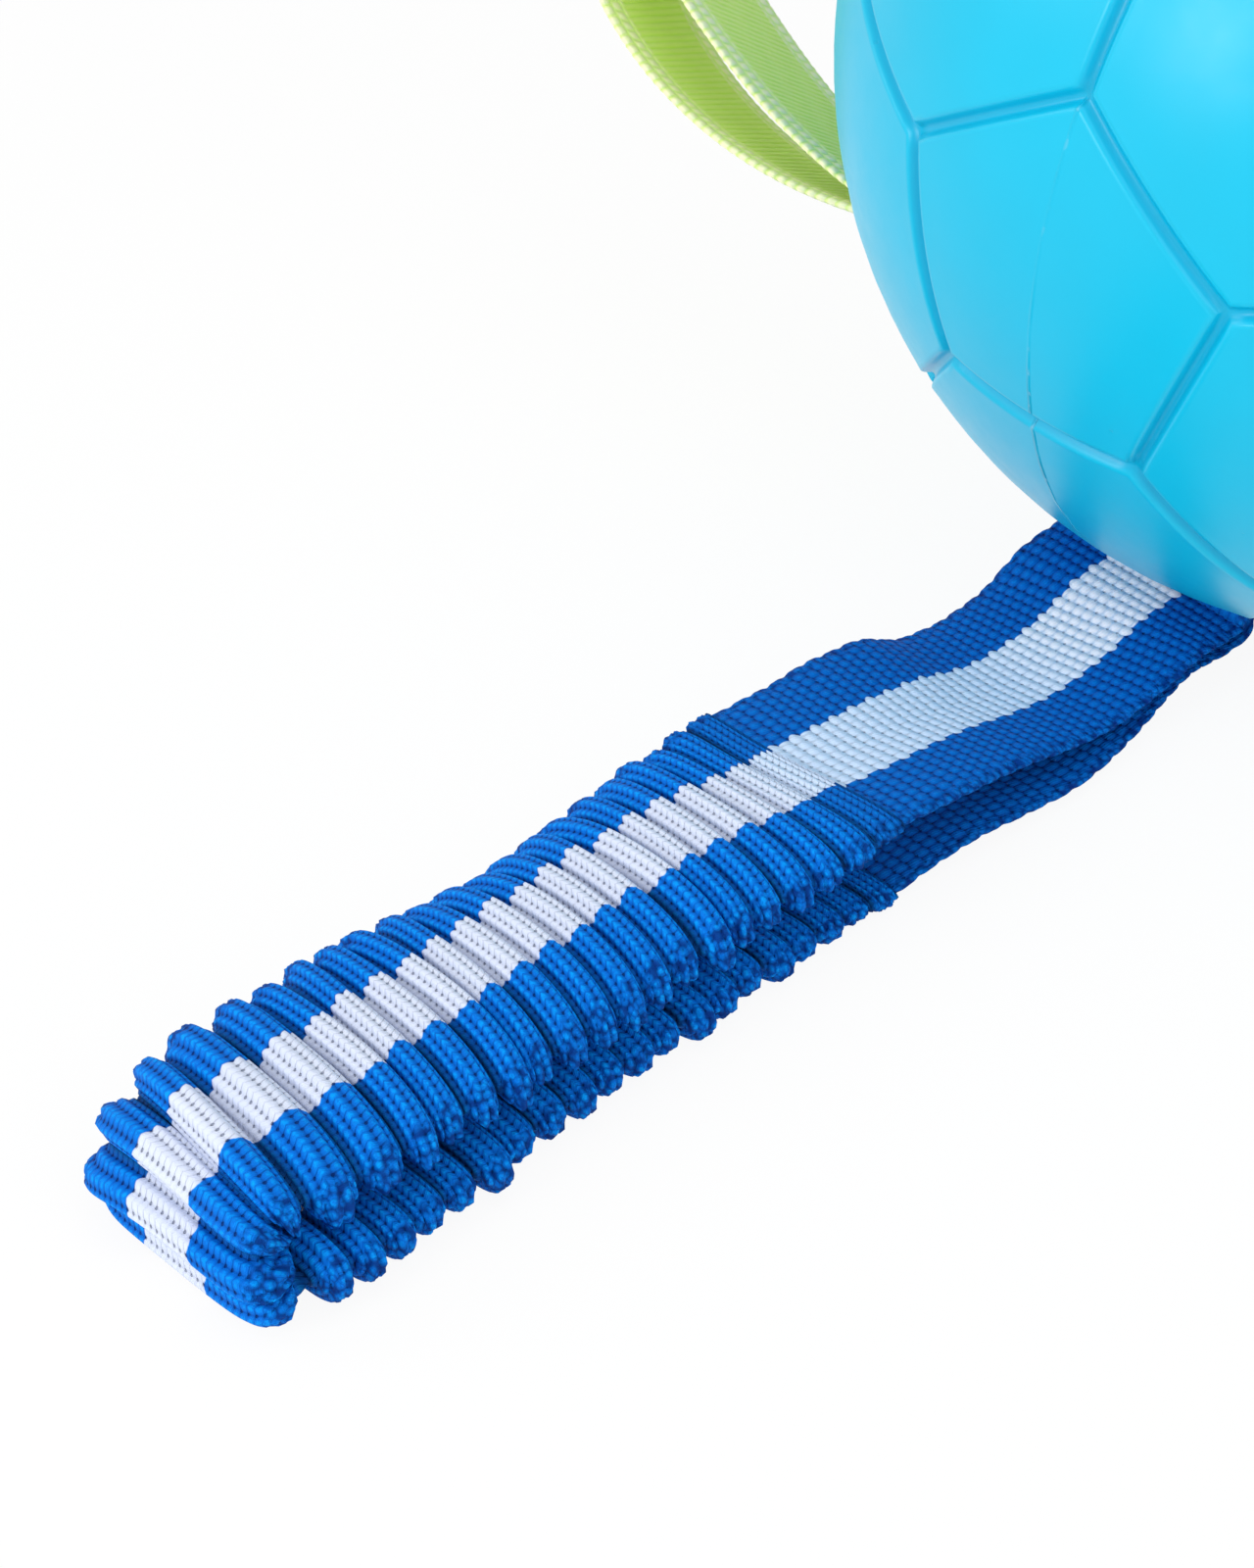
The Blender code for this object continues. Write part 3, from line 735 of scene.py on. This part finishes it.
def panelled_skin(ball):
    """The whole ball's outer skin: bevelled icosahedron, panels inset from grooved seams."""
    bpy.ops.mesh.primitive_ico_sphere_add(subdivisions=1, radius=ball.diameter / 2)
    skin = new_piece("ball_skin")
    square_up(skin)
    skin.vertex_groups.new(name="seams")
    tools = bpy.context.scene.tool_settings
    with editing(skin):
        bpy.ops.mesh.bevel(affect="VERTICES", offset_type="PERCENT", offset_pct=100 / 3)
        bpy.ops.mesh.select_all(action="SELECT")
        bpy.ops.mesh.mark_seam()
        tools.vertex_group_weight = 1.0
        bpy.ops.object.vertex_group_assign()
        for step, weight in SEAM_PROFILE + tuple((step, SEAM_RIM) for step in PANEL_STEPS):
            bpy.ops.mesh.inset(thickness=step * MM, use_individual=True)
            bpy.ops.mesh.mark_seam()
            tools.vertex_group_weight = weight
            bpy.ops.object.vertex_group_assign()
    tools.mesh_select_mode = (False, True, False)
    with editing(skin, "DESELECT"):
        bpy.ops.object.mode_set(mode="OBJECT")
        for edge in skin.data.edges:
            edge.select = edge.use_seam
        bpy.ops.object.mode_set(mode="EDIT")
        bpy.ops.mesh.subdivide(number_cuts=PANEL_CUTS)
        bpy.ops.mesh.select_face_by_sides(number=4, type="GREATER", extend=False)
        bpy.ops.mesh.poke()
    tools.mesh_select_mode = (True, False, False)
    apply_modifier(skin, "CAST", cast_type="SPHERE", factor=1.0, size=ball.diameter / 2,
                   use_radius_as_size=False)
    apply_modifier(skin, "DISPLACE", vertex_group="seams", mid_level=SEAM_RIM,
                   strength=-ball.seam_depth)
    bpy.ops.object.shade_smooth()
    return skin


def slot_cutter(name, socket, radius, strap):
    """A rounded block that cuts the slot of a doubled strap through the shell."""
    width = strap.width + SLOT_ROOM
    height = 2 * strap.thickness + SLOT_GAP
    bpy.ops.mesh.primitive_cube_add(size=1)
    cutter = new_piece(name)
    apply_place(cutter, Matrix.Diagonal((SLOT_DEPTH, width, height, 1)))
    apply_modifier(cutter, "BEVEL", width=0.49 * height, segments=3)
    apply_place(cutter, socket @ Matrix.Translation((radius, 0, 0)))
    return cutter


def make_ball_halves(settings):
    """Both halves of the shell: cut from one skin, given their wall, slots and rest patch."""
    ball = settings.ball
    lie = ball_matrix(ball)
    skin = panelled_skin(ball)
    apply_place(skin, lie)
    material = rubber_finish(ball)
    straps = [("handle", handle_socket(settings), settings.handle)]
    straps += [(label, socket, settings.tabs) for label, socket, *_ in tab_sockets(settings)]
    cutters = [slot_cutter(label + "_slot", socket, ball.diameter / 2, strap)
               for label, socket, strap in straps]
    for name, node, keep in (("rear_half", "rear_half_shell", "clear_inner"),
                             ("front_half", "front_half_shell", "clear_outer")):
        half = skin.copy()
        half.data = skin.data.copy()
        half.name = name
        bpy.context.collection.objects.link(half)
        with editing(half):
            bpy.ops.mesh.bisect(plane_co=lie.translation, plane_no=bond_normal(ball), **{keep: True})
        apply_modifier(half, "SOLIDIFY", thickness=ball.wall, offset=-1, use_rim=True)
        for cutter in cutters:
            apply_modifier(half, "BOOLEAN", object=cutter, operation="DIFFERENCE",
                           solver="MANIFOLD")
        with editing(half):
            bpy.ops.mesh.bisect(plane_co=(0, 0, 0), plane_no=(0, 0, 1), clear_inner=True,
                                use_fill=True, threshold=1e-6)
        half.data.materials.clear()
        half.data.materials.append(material)
        bpy.ops.object.shade_smooth_by_angle(angle=SHARP_ANGLE)
        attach(half, "ball")
        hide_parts(node)
    for item in (skin, *cutters):
        bpy.data.objects.remove(item)


# Handle

# Half of the gap between doubled straps, how deep they go into their slots and how far their edges
# stay inside the full width
STRAP_GAP = 0.15 * MM
ROOT_DEPTH = 9 * MM
EDGE_ROOM = 0.2 * MM
# A tail's middle in millimetres: distance from the slot's bend, height and shift to the far side
UPPER_TAIL = ((10, 8.1, 0), (20, 6.1, -0.5), (30, 5.3, -0.8), (38, 5.5, -0.8), (47, 7.0, -0.8),
              (56, 9.2, -1.0), (66, 11.4, -1.5), (76, 13.1, -2.0))
LOWER_TAIL = ((10, 5.1, 1), (21, 2.9, 0.2), (34, 2.0, -2.0), (47, 2.0, -3.6), (58, 2.8, -3.2),
              (68, 3.4, -2.2), (78, 3.0, -1.4))
# Along a tail, in millimetres: lift of its far edge, and share of the usual rib pitch
FAR_LIFT = ((0, 0.0), (12, 0.6), (30, 1.5), (40, 2.2), (52, 4.8), (61, 4.2), (76, 2.7), (90, 1.8))
RIB_SPACING = ((0, 0.97), (60, 0.97), (110, 1.1))
TAIL_STEP = 0.3 * MM
TAIL_COLUMNS = 88
TAIL_SCALLOP = 0.14 * MM
TAIL_LAP = 1 * MM
UNTWIST = 25 * MM
GRIP_RISE = 2.2 * MM
GRIP_RISE_LENGTH = 28 * MM
# Tables over the grip's gathers, from the upper run round the end to the lower run. The gathers
# round the end are the widest; shifts, reach and droop are in millimetres, splay is a slope
GATHERS = 43
PATH_PLACES = ((0, 0), (17, 16.2), (23, 24.0), (GATHERS, GATHERS))
SIDE_SHIFT = ((0, -1.8), (4, -1.4), (17, -1.4), (21, -0.3), (23.5, -4.2), (25.5, -5.2),
              (28, -4.4), (33, -2.1), (36, -2.3), (GATHERS, -0.8))
SPLAY = ((0, 0.0), (4, 0.12), (15, 0.16), (20, 0.20), (24, 0.06), (30, 0.10), (GATHERS, 0.0))
END_REACH = ((0, 0.0), (16, 0.0), (20, 0.8), (23, 4.6), (26, 4.0), (33, 0.5), (GATHERS, 0.0))
END_FULLNESS = ((0, 0.0), (16, 0.0), (19.5, 1.0), (23.5, 1.0), (27, 0.0), (GATHERS, 0.0))
NEAR_DROOP = ((0, 0.4), (4, 3.6), (10, 4.8), (18, 4.2), (21, 0.0), (GATHERS, 0.0))
FAR_DROOP = ((0, -2.0), (1, -1.6), (3, 1.2), (5, 3.2), (8, 5.6), (10, 5.2), (13, 1.8), (15, 1.2),
             (17.5, 0.6), (20, 2.4), (22, 3.0), (24, 0.0), (GATHERS, 0.0))
# Shape of a gather: shift to the outer face, gathers until it is full, roundness, rows to a rib,
# wander and pinch in shares of a gather, and drift of a roll
DEPTH_SHIFT = 0.8 * MM
FIRST_GATHERS = 2.6
ROLL = 0.9
RIB_ROWS = 4
WANDER = 0.10
PINCH = 0.08
ROLL_DRIFT = 0.7 * MM
# What differs from gather to gather and at the end: height, growth and roundness
TALL_RANGE = 0.06
END_GROWTH = 0.12
END_ROUNDNESS = 0.35
INNER_GROWTH = 0.6
# A valley's share of its crest, in the grip and at its start, and how far a valley is drawn in
VALLEY_SHARE = 0.62
FIRST_VALLEY = 0.78
DRAWN_IN = 0.85
GRIP_COLUMNS = 80
KNOT_PITCH = 1.6 * MM
KNOT_HEIGHT = 0.7 * MM
# Elastic
ELASTIC_WIDTH = 20 * MM
ELASTIC_THICKNESS = 1.1 * MM
ELASTIC_COLUMNS = 28
BRAID_PITCH = 1.5 * MM
BRAID_DEPTH = 0.1 * MM


def eased(place, knots):
    """A value that eases from knot to knot; a knot is a place and a value."""
    places, values = np.array(knots).T
    step = np.clip(np.searchsorted(places, place, side="right") - 1, 0, len(places) - 2)
    share = smoothstep((place - places[step]) / (places[step + 1] - places[step]))
    return values[step] + (values[step + 1] - values[step]) * share


def path_place(number):
    """Place on the grip's path for a gather number."""
    return np.interp(number, *np.array(PATH_PLACES).T)


def grip_start(settings):
    """Distance from the slot's bend to the first gather."""
    return handle_pivot(settings).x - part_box("grip_sleeve_upper")[1].x


def crest_half(handle, along):
    """Half thickness over the gathers at a distance along a run."""
    grow = np.clip(along / GRIP_RISE_LENGTH, 0, 1)
    return (handle.first_thickness + (handle.run_thickness - handle.first_thickness) * grow) / 2


def run_middles(handle, along):
    """Heights of the upper and lower runs' middles at a distance along them."""
    low_start = GRIP_RISE * (1 - smoothstep(along / GRIP_RISE_LENGTH))
    upper = handle.loop_height - handle.run_thickness / 2 - low_start
    return upper, crest_half(handle, along)


def level_across(line):
    """The direction to the near edge, for each point of a line."""
    return np.tile(np.array(NEAR), (len(line), 1))


def make_tail(settings, name, node, route, side, material):
    """A flat tail from inside the slot, round its bend and along to the first gathers."""
    handle = settings.handle
    socket = handle_socket(settings).to_3x3()
    outward, slot_across, slot_up = socket.col
    if slot_across.y > 0:
        slot_across = -slot_across
    pivot = handle_pivot(settings)
    leg = side * (handle.thickness / 2 + STRAP_GAP)
    points = [pivot + slot_up * leg - outward * ROOT_DEPTH, pivot + slot_up * leg - outward * 4 * MM,
              pivot + (slot_up + UP).normalized() * leg - outward * 0.6 * MM]
    points += [Vector((pivot.x - out * MM, pivot.y + aside * MM, height * MM))
               for out, height, aside in route]
    upper_level, lower_level = run_middles(handle, 0.0)
    place, level = (0, upper_level) if side > 0 else (GATHERS, lower_level)
    reach = grip_start(settings) + TAIL_LAP
    points.append(Vector((pivot.x - reach, pivot.y + eased(place, SIDE_SHIFT) * MM, level)))
    line, run = smooth_route(points, TAIL_STEP)
    along = unit(np.gradient(line, axis=0))
    share = smoothstep((pivot.x - line[:, 0]) / UNTWIST)[:, None]
    across = unit(np.array(slot_across) * (1 - share) + np.array(NEAR) * share)
    across = unit(across - along * np.sum(across * along, axis=1, keepdims=True))
    up = np.cross(across, along)
    upright = np.array(slot_up) * (1 - share) + np.array(UP) * share
    up *= np.sign(np.sum(up * upright, axis=1, keepdims=True))
    pitch = handle.rib_pitch * np.interp(run / MM, *np.array(RIB_SPACING).T)
    ribs = np.concatenate([[0], np.cumsum(np.diff(run) / pitch[1:])])
    ribs = ribs - ribs[-1] + round(ribs[-1])
    inset = 0.5 * handle.rib_depth
    half_width = handle.width / 2 - inset + TAIL_SCALLOP * np.cos(math.pi * ribs) - EDGE_ROOM
    rings = strap_rings(line, across, up, half_width, handle.thickness / 2 - inset,
                        columns=TAIL_COLUMNS, squareness=9)
    if side > 0:
        far = np.clip((rings[..., 1] - line[:, None, 1]) / (handle.width / 2), 0, 1)
        rings[..., 2] += far * eased((pivot.x - line[:, 0]) / MM, FAR_LIFT)[:, None] * MM
    tail = woven_tube(name, rings, ribs, 0.4 * handle.rib_depth, material)
    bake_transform(tail)
    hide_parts(node)
    return tail


def gather_noise(count, seed):
    """A repeatable number from -1 to 1 for each gather."""
    index = np.arange(count)
    return np.sin(index * 12.9898 + seed * 78.233) * np.cos(index * 4.1414 + seed * 37.719)


def gather_count(handle):
    return 2 * handle.run_gathers + handle.end_gathers


def gather_stations(handle):
    """Rows along the grip, even over the cloth: gather number, share of the gather and its turn."""
    steps = handle.gather_ribs * RIB_ROWS
    count = gather_count(handle)
    turn = np.linspace(0, math.pi, 400)
    pitch = handle.grip_length / handle.run_gathers
    depth = (handle.run_thickness - handle.valley_thickness) / 2 + DEPTH_SHIFT
    profile = np.column_stack([pitch * turn / math.pi, depth * np.sin(turn) ** ROLL])
    run = run_along(profile)
    share = np.linspace(0, 1, steps, endpoint=False)
    turn = np.interp(share * run[-1], run, turn)
    number = np.append(np.repeat(np.arange(count), steps), count - 1)
    return number, np.append(np.tile(share, count), 1.0), np.append(np.tile(turn, count), math.pi)


def grip_middle(settings, place):
    """The grip's middle line at places counted in gathers: upper run, end bend, lower run."""
    handle = settings.handle
    pivot = handle_pivot(settings)
    runs, ends = handle.run_gathers, handle.end_gathers
    pitch = handle.grip_length / runs
    low_level = handle.run_thickness / 2
    high_level = handle.loop_height - low_level
    bend = (high_level - low_level) / 2
    share_up = np.clip(place, 0, runs)
    share_down = np.clip(gather_count(handle) - place, 0, runs)
    turn = np.clip((place - runs) / ends, 0, 1) * math.pi
    upper, _ = run_middles(handle, share_up * pitch)
    _, lower = run_middles(handle, share_down * pitch)
    square = np.where(turn < math.pi / 2, 2.0, 4.5)
    outward = bend * (1 - np.abs(np.cos(turn)) ** square) ** (1 / square)
    start = pivot.x - grip_start(settings)
    x = start - np.where(place < runs, share_up, share_down) * pitch - outward
    middle = (high_level + low_level) / 2
    round_end = np.where(place < runs + ends, middle + bend * np.cos(turn), lower)
    z = np.where(place <= runs, upper, round_end)
    return np.column_stack([x, pivot.y + eased(place, SIDE_SHIFT) * MM, z])


def fullness(handle, place):
    """0 at the tails, 1 from where the gathers are full."""
    return np.clip(np.minimum(place, gather_count(handle) - place) / FIRST_GATHERS, 0, 1)


def grip_path(settings, place):
    """Middle, outward direction and crest half thickness at places counted in gathers."""
    handle = settings.handle
    runs, count = handle.run_gathers, gather_count(handle)
    line = grip_middle(settings, place)
    travel = grip_middle(settings, place + 0.3) - grip_middle(settings, place - 0.3)
    up = unit(np.column_stack([travel[:, 2], np.zeros(len(line)), -travel[:, 0]]))
    line = line - up * (DEPTH_SHIFT * fullness(handle, place))[:, None]
    run = np.minimum(np.clip(place, 0, runs), np.clip(count - place, 0, runs))
    half = crest_half(handle, run * handle.grip_length / runs)
    return line, up, half


def settle(settings, rings, line, place):
    """Splays the gathers and droops their edges; returns the share of the way to the near edge."""
    handle = settings.handle
    edge = (line[:, None, 1] - rings[..., 1]) / (handle.width / 2)
    droop = np.where(edge > 0, eased(place, NEAR_DROOP)[:, None], eased(place, FAR_DROOP)[:, None])
    splay = eased(place, SPLAY)[:, None] * edge * handle.width / 2
    rings[..., 0] -= splay + eased(place, END_REACH)[:, None] * MM
    rings[..., 2] -= droop * MM * np.abs(edge) ** 2.3
    rings[..., 2] = np.maximum(rings[..., 2], 0.5 * handle.rib_depth)
    return edge


def knot_edges(rings, line, ribs):
    """Raises the rows of small knots along both selvedges."""
    run = cloth_sides(rings) / KNOT_PITCH
    lap = np.floor(ribs)[:, None]
    rows = np.abs(np.sin(math.pi * ribs))[:, None]
    knots = np.sqrt(rows * np.abs(np.sin(math.pi * (run + 0.5 * lap))))
    off = rings - line[:, None]
    edge = np.abs(off[..., 1]) / np.abs(off[..., 1]).max()
    raised = smoothstep((edge - 0.80) / 0.12) * (knots - 0.6) * KNOT_HEIGHT
    rings += unit(off) * raised[..., None]


def make_grip(settings, material):
    """The gathered grip: upper run, end bend and lower run in one knitted tube."""
    handle = settings.handle
    number, share, turn = gather_stations(handle)
    count = gather_count(handle)
    loose = gather_noise(count, 1)
    tall = gather_noise(count, 2)[number]
    skew, bow, sway = (gather_noise(count, seed)[number][:, None] for seed in (3, 4, 5))
    shift = WANDER * np.concatenate([[0], (loose[1:] + loose[:-1]) / 2, [0]])
    lower_edge = number + shift[number]
    upper_edge = number + 1 + shift[number + 1]
    across_gather = (turn - PINCH * np.sin(2 * turn)) / math.pi
    place = path_place(lower_edge + (upper_edge - lower_edge) * across_gather)
    line, up, half = grip_path(settings, place)
    fat = eased(place, END_FULLNESS)
    swell = np.sin(turn) ** (ROLL + END_ROUNDNESS * fat)
    crest = half * (1.0 + TALL_RANGE * tall + END_GROWTH * fat) - 0.25 * handle.rib_depth
    begun = fullness(handle, place)
    valley = np.minimum(handle.valley_thickness / 2, crest * VALLEY_SHARE) * begun
    valley = valley + crest * FIRST_VALLEY * (1 - begun)
    rise = crest + DEPTH_SHIFT * begun - valley
    half_height = valley + rise * swell
    inner = valley + (crest * (1 + INNER_GROWTH * fat) - DEPTH_SHIFT * begun - valley) * swell
    half_width = handle.width / 2 - DRAWN_IN * rise * (1 - swell)
    half_width = half_width + (0.3 + 0.5 * tall) * MM * swell
    rings = strap_rings(line, level_across(line), up, half_width, half_height,
                        columns=GRIP_COLUMNS, squareness=7, inner_share=inner / half_height)
    ribs = handle.gather_ribs * (number + share)
    knot_edges(rings, line, ribs)
    edge = settle(settings, rings, line, place)
    drift = ROLL_DRIFT * begun[:, None]
    rings[..., 0] -= drift * (skew * edge + bow * (edge ** 2 - 0.4))
    rings[..., 1] += drift * sway * swell[:, None]
    grip = woven_tube("gathered_grip", rings, ribs, handle.rib_depth, material)
    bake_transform(grip)
    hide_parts("grip_sleeve_upper", "grip_sleeve_lower", "grip_sleeve_end")


def make_elastic(settings):
    """The elastic band inside the grip."""
    handle = settings.handle
    count = gather_count(handle)
    place = np.linspace(0.1, count - 0.1, count * 2)
    line, up, _ = grip_path(settings, place)
    rings = strap_rings(line, level_across(line), up, ELASTIC_WIDTH / 2, ELASTIC_THICKNESS / 2,
                        columns=ELASTIC_COLUMNS, squareness=8)
    settle(settings, rings, line, place)
    ribs = run_along(line) / BRAID_PITCH
    band = woven_tube("elastic_core", rings, ribs, BRAID_DEPTH, elastic_finish())
    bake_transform(band)
    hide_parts("elastic_upper", "elastic_lower", "elastic_end")


# Grab tabs

TAB_COLUMNS = 60
TAB_RIB_PITCH = 1.3 * MM
TAB_RIB_DEPTH = 0.12 * MM
TAB_SCALLOP = 0.3 * MM


def tab_line(settings, lean, curl):
    """Middle line of a tab in its slot's axes: out of the slot, round the loop and back in."""
    tabs = settings.tabs
    leg = tabs.thickness / 2 + STRAP_GAP
    root = bend_place(settings, tabs)
    turns = np.linspace(0, 2 * math.pi, 121)[4:-4]
    along = tabs.length * (1 - np.cos(turns)) / 2
    aside = tabs.bulge * np.sin(turns) * np.sin(turns / 2) ** 1.2
    to_tip = np.minimum(1, 4 * (1 - along / tabs.length))
    aside = aside + np.sign(math.pi - turns + 1e-9) * leg * to_tip
    tilt = lean + along / curl
    out = curl * (np.sin(tilt) - math.sin(lean)) - aside * np.sin(tilt)
    over = curl * (math.cos(lean) - np.cos(tilt)) + aside * np.cos(tilt)
    loop = np.column_stack([root + out, np.zeros_like(out), over])
    depths = (ROOT_DEPTH, ROOT_DEPTH / 2, 1.2 * MM)
    start = [[root - depth, 0, leg] for depth in depths]
    end = [[root - depth, 0, -leg] for depth in reversed(depths)]
    return smooth_route(np.vstack([start, loop, end]), TAB_RIB_PITCH / 3)


def make_tab(settings, label, socket, lean, curl, material):
    """A grab tab: one loop of webbing with both ends in the ball's slot."""
    tabs = settings.tabs
    line, run = tab_line(settings, lean, curl)
    along = unit(np.gradient(line, axis=0))
    across = np.tile(np.array((0.0, 1.0, 0.0)), (len(line), 1))
    up = np.cross(along, across)
    ribs = run / TAB_RIB_PITCH
    edge = TAB_SCALLOP * (np.abs(np.cos(0.65 * math.pi * ribs)) - 0.5)
    half_thickness = tabs.thickness / 2 - TAB_RIB_DEPTH / 2
    rings = strap_rings(line, across, up, tabs.width / 2 - EDGE_ROOM + edge, half_thickness,
                        columns=TAB_COLUMNS, squareness=12)
    turn = np.array(socket)
    rings = rings @ turn[:3, :3].T + turn[:3, 3]
    tab = woven_tube(label + "_webbing", rings, ribs, TAB_RIB_DEPTH, material)
    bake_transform(tab)
    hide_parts(label + "_loop", label + "_root")


# Stage

FLOOR_SIZE = 12
CLIP_START = 0.01
# Softboxes: place, width and the setting with the power
SOFTBOXES = {
    "key_light": ((-1.10, 0.16, 0.52), 0.38, "key_power"),
    "top_light": ((-0.10, -0.35, 1.25), 1.05, "top_power"),
    "front_light": ((-0.45, -1.05, 0.55), 0.9, "front_power"),
    "rim_light": ((-0.75, 0.95, 0.65), 0.6, "rim_power"),
}
LIGHT_TARGET = Vector((-0.06, 0, 0.06))


def camera_axes(stage):
    """Right, up and back of the camera."""
    back = Vector((math.sin(stage.azimuth) * math.cos(stage.elevation),
                   -math.cos(stage.azimuth) * math.cos(stage.elevation), math.sin(stage.elevation)))
    right = Vector((math.cos(stage.azimuth), math.sin(stage.azimuth), 0))
    return right, back.cross(right), back


def make_camera(settings):
    stage = settings.stage
    axes = camera_axes(stage)
    middle = ball_matrix(settings.ball).translation
    away = sum((axis * share for axis, share in zip(axes, stage.distance)), Vector())
    place = middle + away * (settings.ball.diameter / 2)
    bpy.ops.object.camera_add()
    camera = new_piece("camera")
    camera.matrix_world = Matrix.Translation(place) @ Matrix(axes).transposed().to_4x4()
    camera.data.lens = stage.lens
    camera.data.clip_start = CLIP_START
    bpy.context.scene.camera = camera


def add_softbox(name, place, width, energy):
    """A square area light turned to the object."""
    bpy.ops.object.light_add(type="AREA", location=place)
    light = new_piece(name)
    light.data.shape = "SQUARE"
    light.data.size = width
    light.data.energy = energy
    light.rotation_euler = (LIGHT_TARGET - Vector(place)).to_track_quat("-Z", "Y").to_euler()


def make_stage(settings):
    """White floor and surroundings, four softboxes and the camera."""
    stage = settings.stage
    scene = bpy.context.scene
    scene.view_settings.view_transform = "Standard"
    bpy.ops.mesh.primitive_plane_add(size=FLOOR_SIZE)
    floor = new_piece("floor")
    floor.data.materials.append(floor_finish(stage))
    for name, (place, width, setting) in SOFTBOXES.items():
        add_softbox(name, place, width, getattr(stage, setting))
    scene.world = bpy.data.worlds.new("white_room")
    room = Finish(scene.world, "Background")
    room.set(Color=(1, 1, 1, 1), Strength=room.in_view() * (1 - stage.sky) + stage.sky)
    make_camera(settings)


# Operators

class TUGBALL_OT_ball_halves(bpy.types.Operator):
    """Model both halves of the panelled ball"""
    bl_idname = "tugball.ball_halves"
    bl_label = "Ball Halves"

    def execute(self, context):
        make_ball_halves(context.scene.tug_ball)
        return {"FINISHED"}


class TUGBALL_OT_handle_tails(bpy.types.Operator):
    """Model the two flat tails of the handle"""
    bl_idname = "tugball.handle_tails"
    bl_label = "Handle Tails"

    def execute(self, context):
        settings = context.scene.tug_ball
        material = webbing_finish("flat_webbing", settings.handle, gathered=False)
        upper = make_tail(settings, "upper_tail", "handle_tail_upper", UPPER_TAIL, 1, material)
        make_tail(settings, "lower_tail", "handle_tail_lower", LOWER_TAIL, -1, material)
        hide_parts("handle_root")
        return {"FINISHED"}


class TUGBALL_OT_gathered_grip(bpy.types.Operator):
    """Model the gathered grip and the elastic inside it"""
    bl_idname = "tugball.gathered_grip"
    bl_label = "Gathered Grip"

    def execute(self, context):
        settings = context.scene.tug_ball
        make_grip(settings, webbing_finish("gathered_webbing", settings.handle, gathered=True))
        make_elastic(settings)
        return {"FINISHED"}


class TUGBALL_OT_grab_tabs(bpy.types.Operator):
    """Model the grab tabs"""
    bl_idname = "tugball.grab_tabs"
    bl_label = "Grab Tabs"

    def execute(self, context):
        settings = context.scene.tug_ball
        material = tab_finish(settings.tabs)
        for label, socket, lean, curl in tab_sockets(settings):
            make_tab(settings, label, socket, lean, curl, material)
        return {"FINISHED"}


class TUGBALL_OT_anchor_bars(bpy.types.Operator):
    """Give the bars inside the ball their finish"""
    bl_idname = "tugball.anchor_bars"
    bl_label = "Anchor Bars"

    def execute(self, context):
        material = nylon_finish()
        for item in context.scene.objects:
            if item.name.endswith("anchor_bar"):
                item.data.materials.clear()
                item.data.materials.append(material)
        return {"FINISHED"}


class TUGBALL_OT_stage(bpy.types.Operator):
    """Set up the floor, the light and the camera"""
    bl_idname = "tugball.stage"
    bl_label = "Stage"

    def execute(self, context):
        make_stage(context.scene.tug_ball)
        return {"FINISHED"}


class TUGBALL_PT_sidebar(bpy.types.Panel):
    """Tug ball pieces and settings"""
    bl_idname = "TUGBALL_PT_sidebar"
    bl_label = "Tug Ball"
    bl_space_type = "VIEW_3D"
    bl_region_type = "UI"
    bl_category = "Tug Ball"

    def draw(self, context):
        settings = context.scene.tug_ball
        for operator in OPERATORS:
            self.layout.operator(operator.bl_idname)
        for group in (settings.ball, settings.handle, settings.tabs, settings.stage):
            box = self.layout.box()
            for name in group.__annotations__:
                box.prop(group, name)


OPERATORS = (TUGBALL_OT_ball_halves, TUGBALL_OT_handle_tails, TUGBALL_OT_gathered_grip,
             TUGBALL_OT_grab_tabs, TUGBALL_OT_anchor_bars, TUGBALL_OT_stage)
CLASSES = (BallSettings, HandleSettings, TabSettings, StageSettings, TugBallSettings,
           *OPERATORS, TUGBALL_PT_sidebar)


def register():
    for item in CLASSES:
        bpy.utils.register_class(item)
    bpy.types.Scene.tug_ball = PointerProperty(type=TugBallSettings)


def unregister():
    del bpy.types.Scene.tug_ball
    for item in reversed(CLASSES):
        bpy.utils.unregister_class(item)


def main():
    register()
    bpy.ops.tugball.ball_halves()
    bpy.ops.tugball.handle_tails()
    bpy.ops.tugball.gathered_grip()
    bpy.ops.tugball.grab_tabs()
    bpy.ops.tugball.anchor_bars()
    bpy.ops.tugball.stage()
    bpy.context.view_layer.update()


if __name__ == "__main__":
    main()
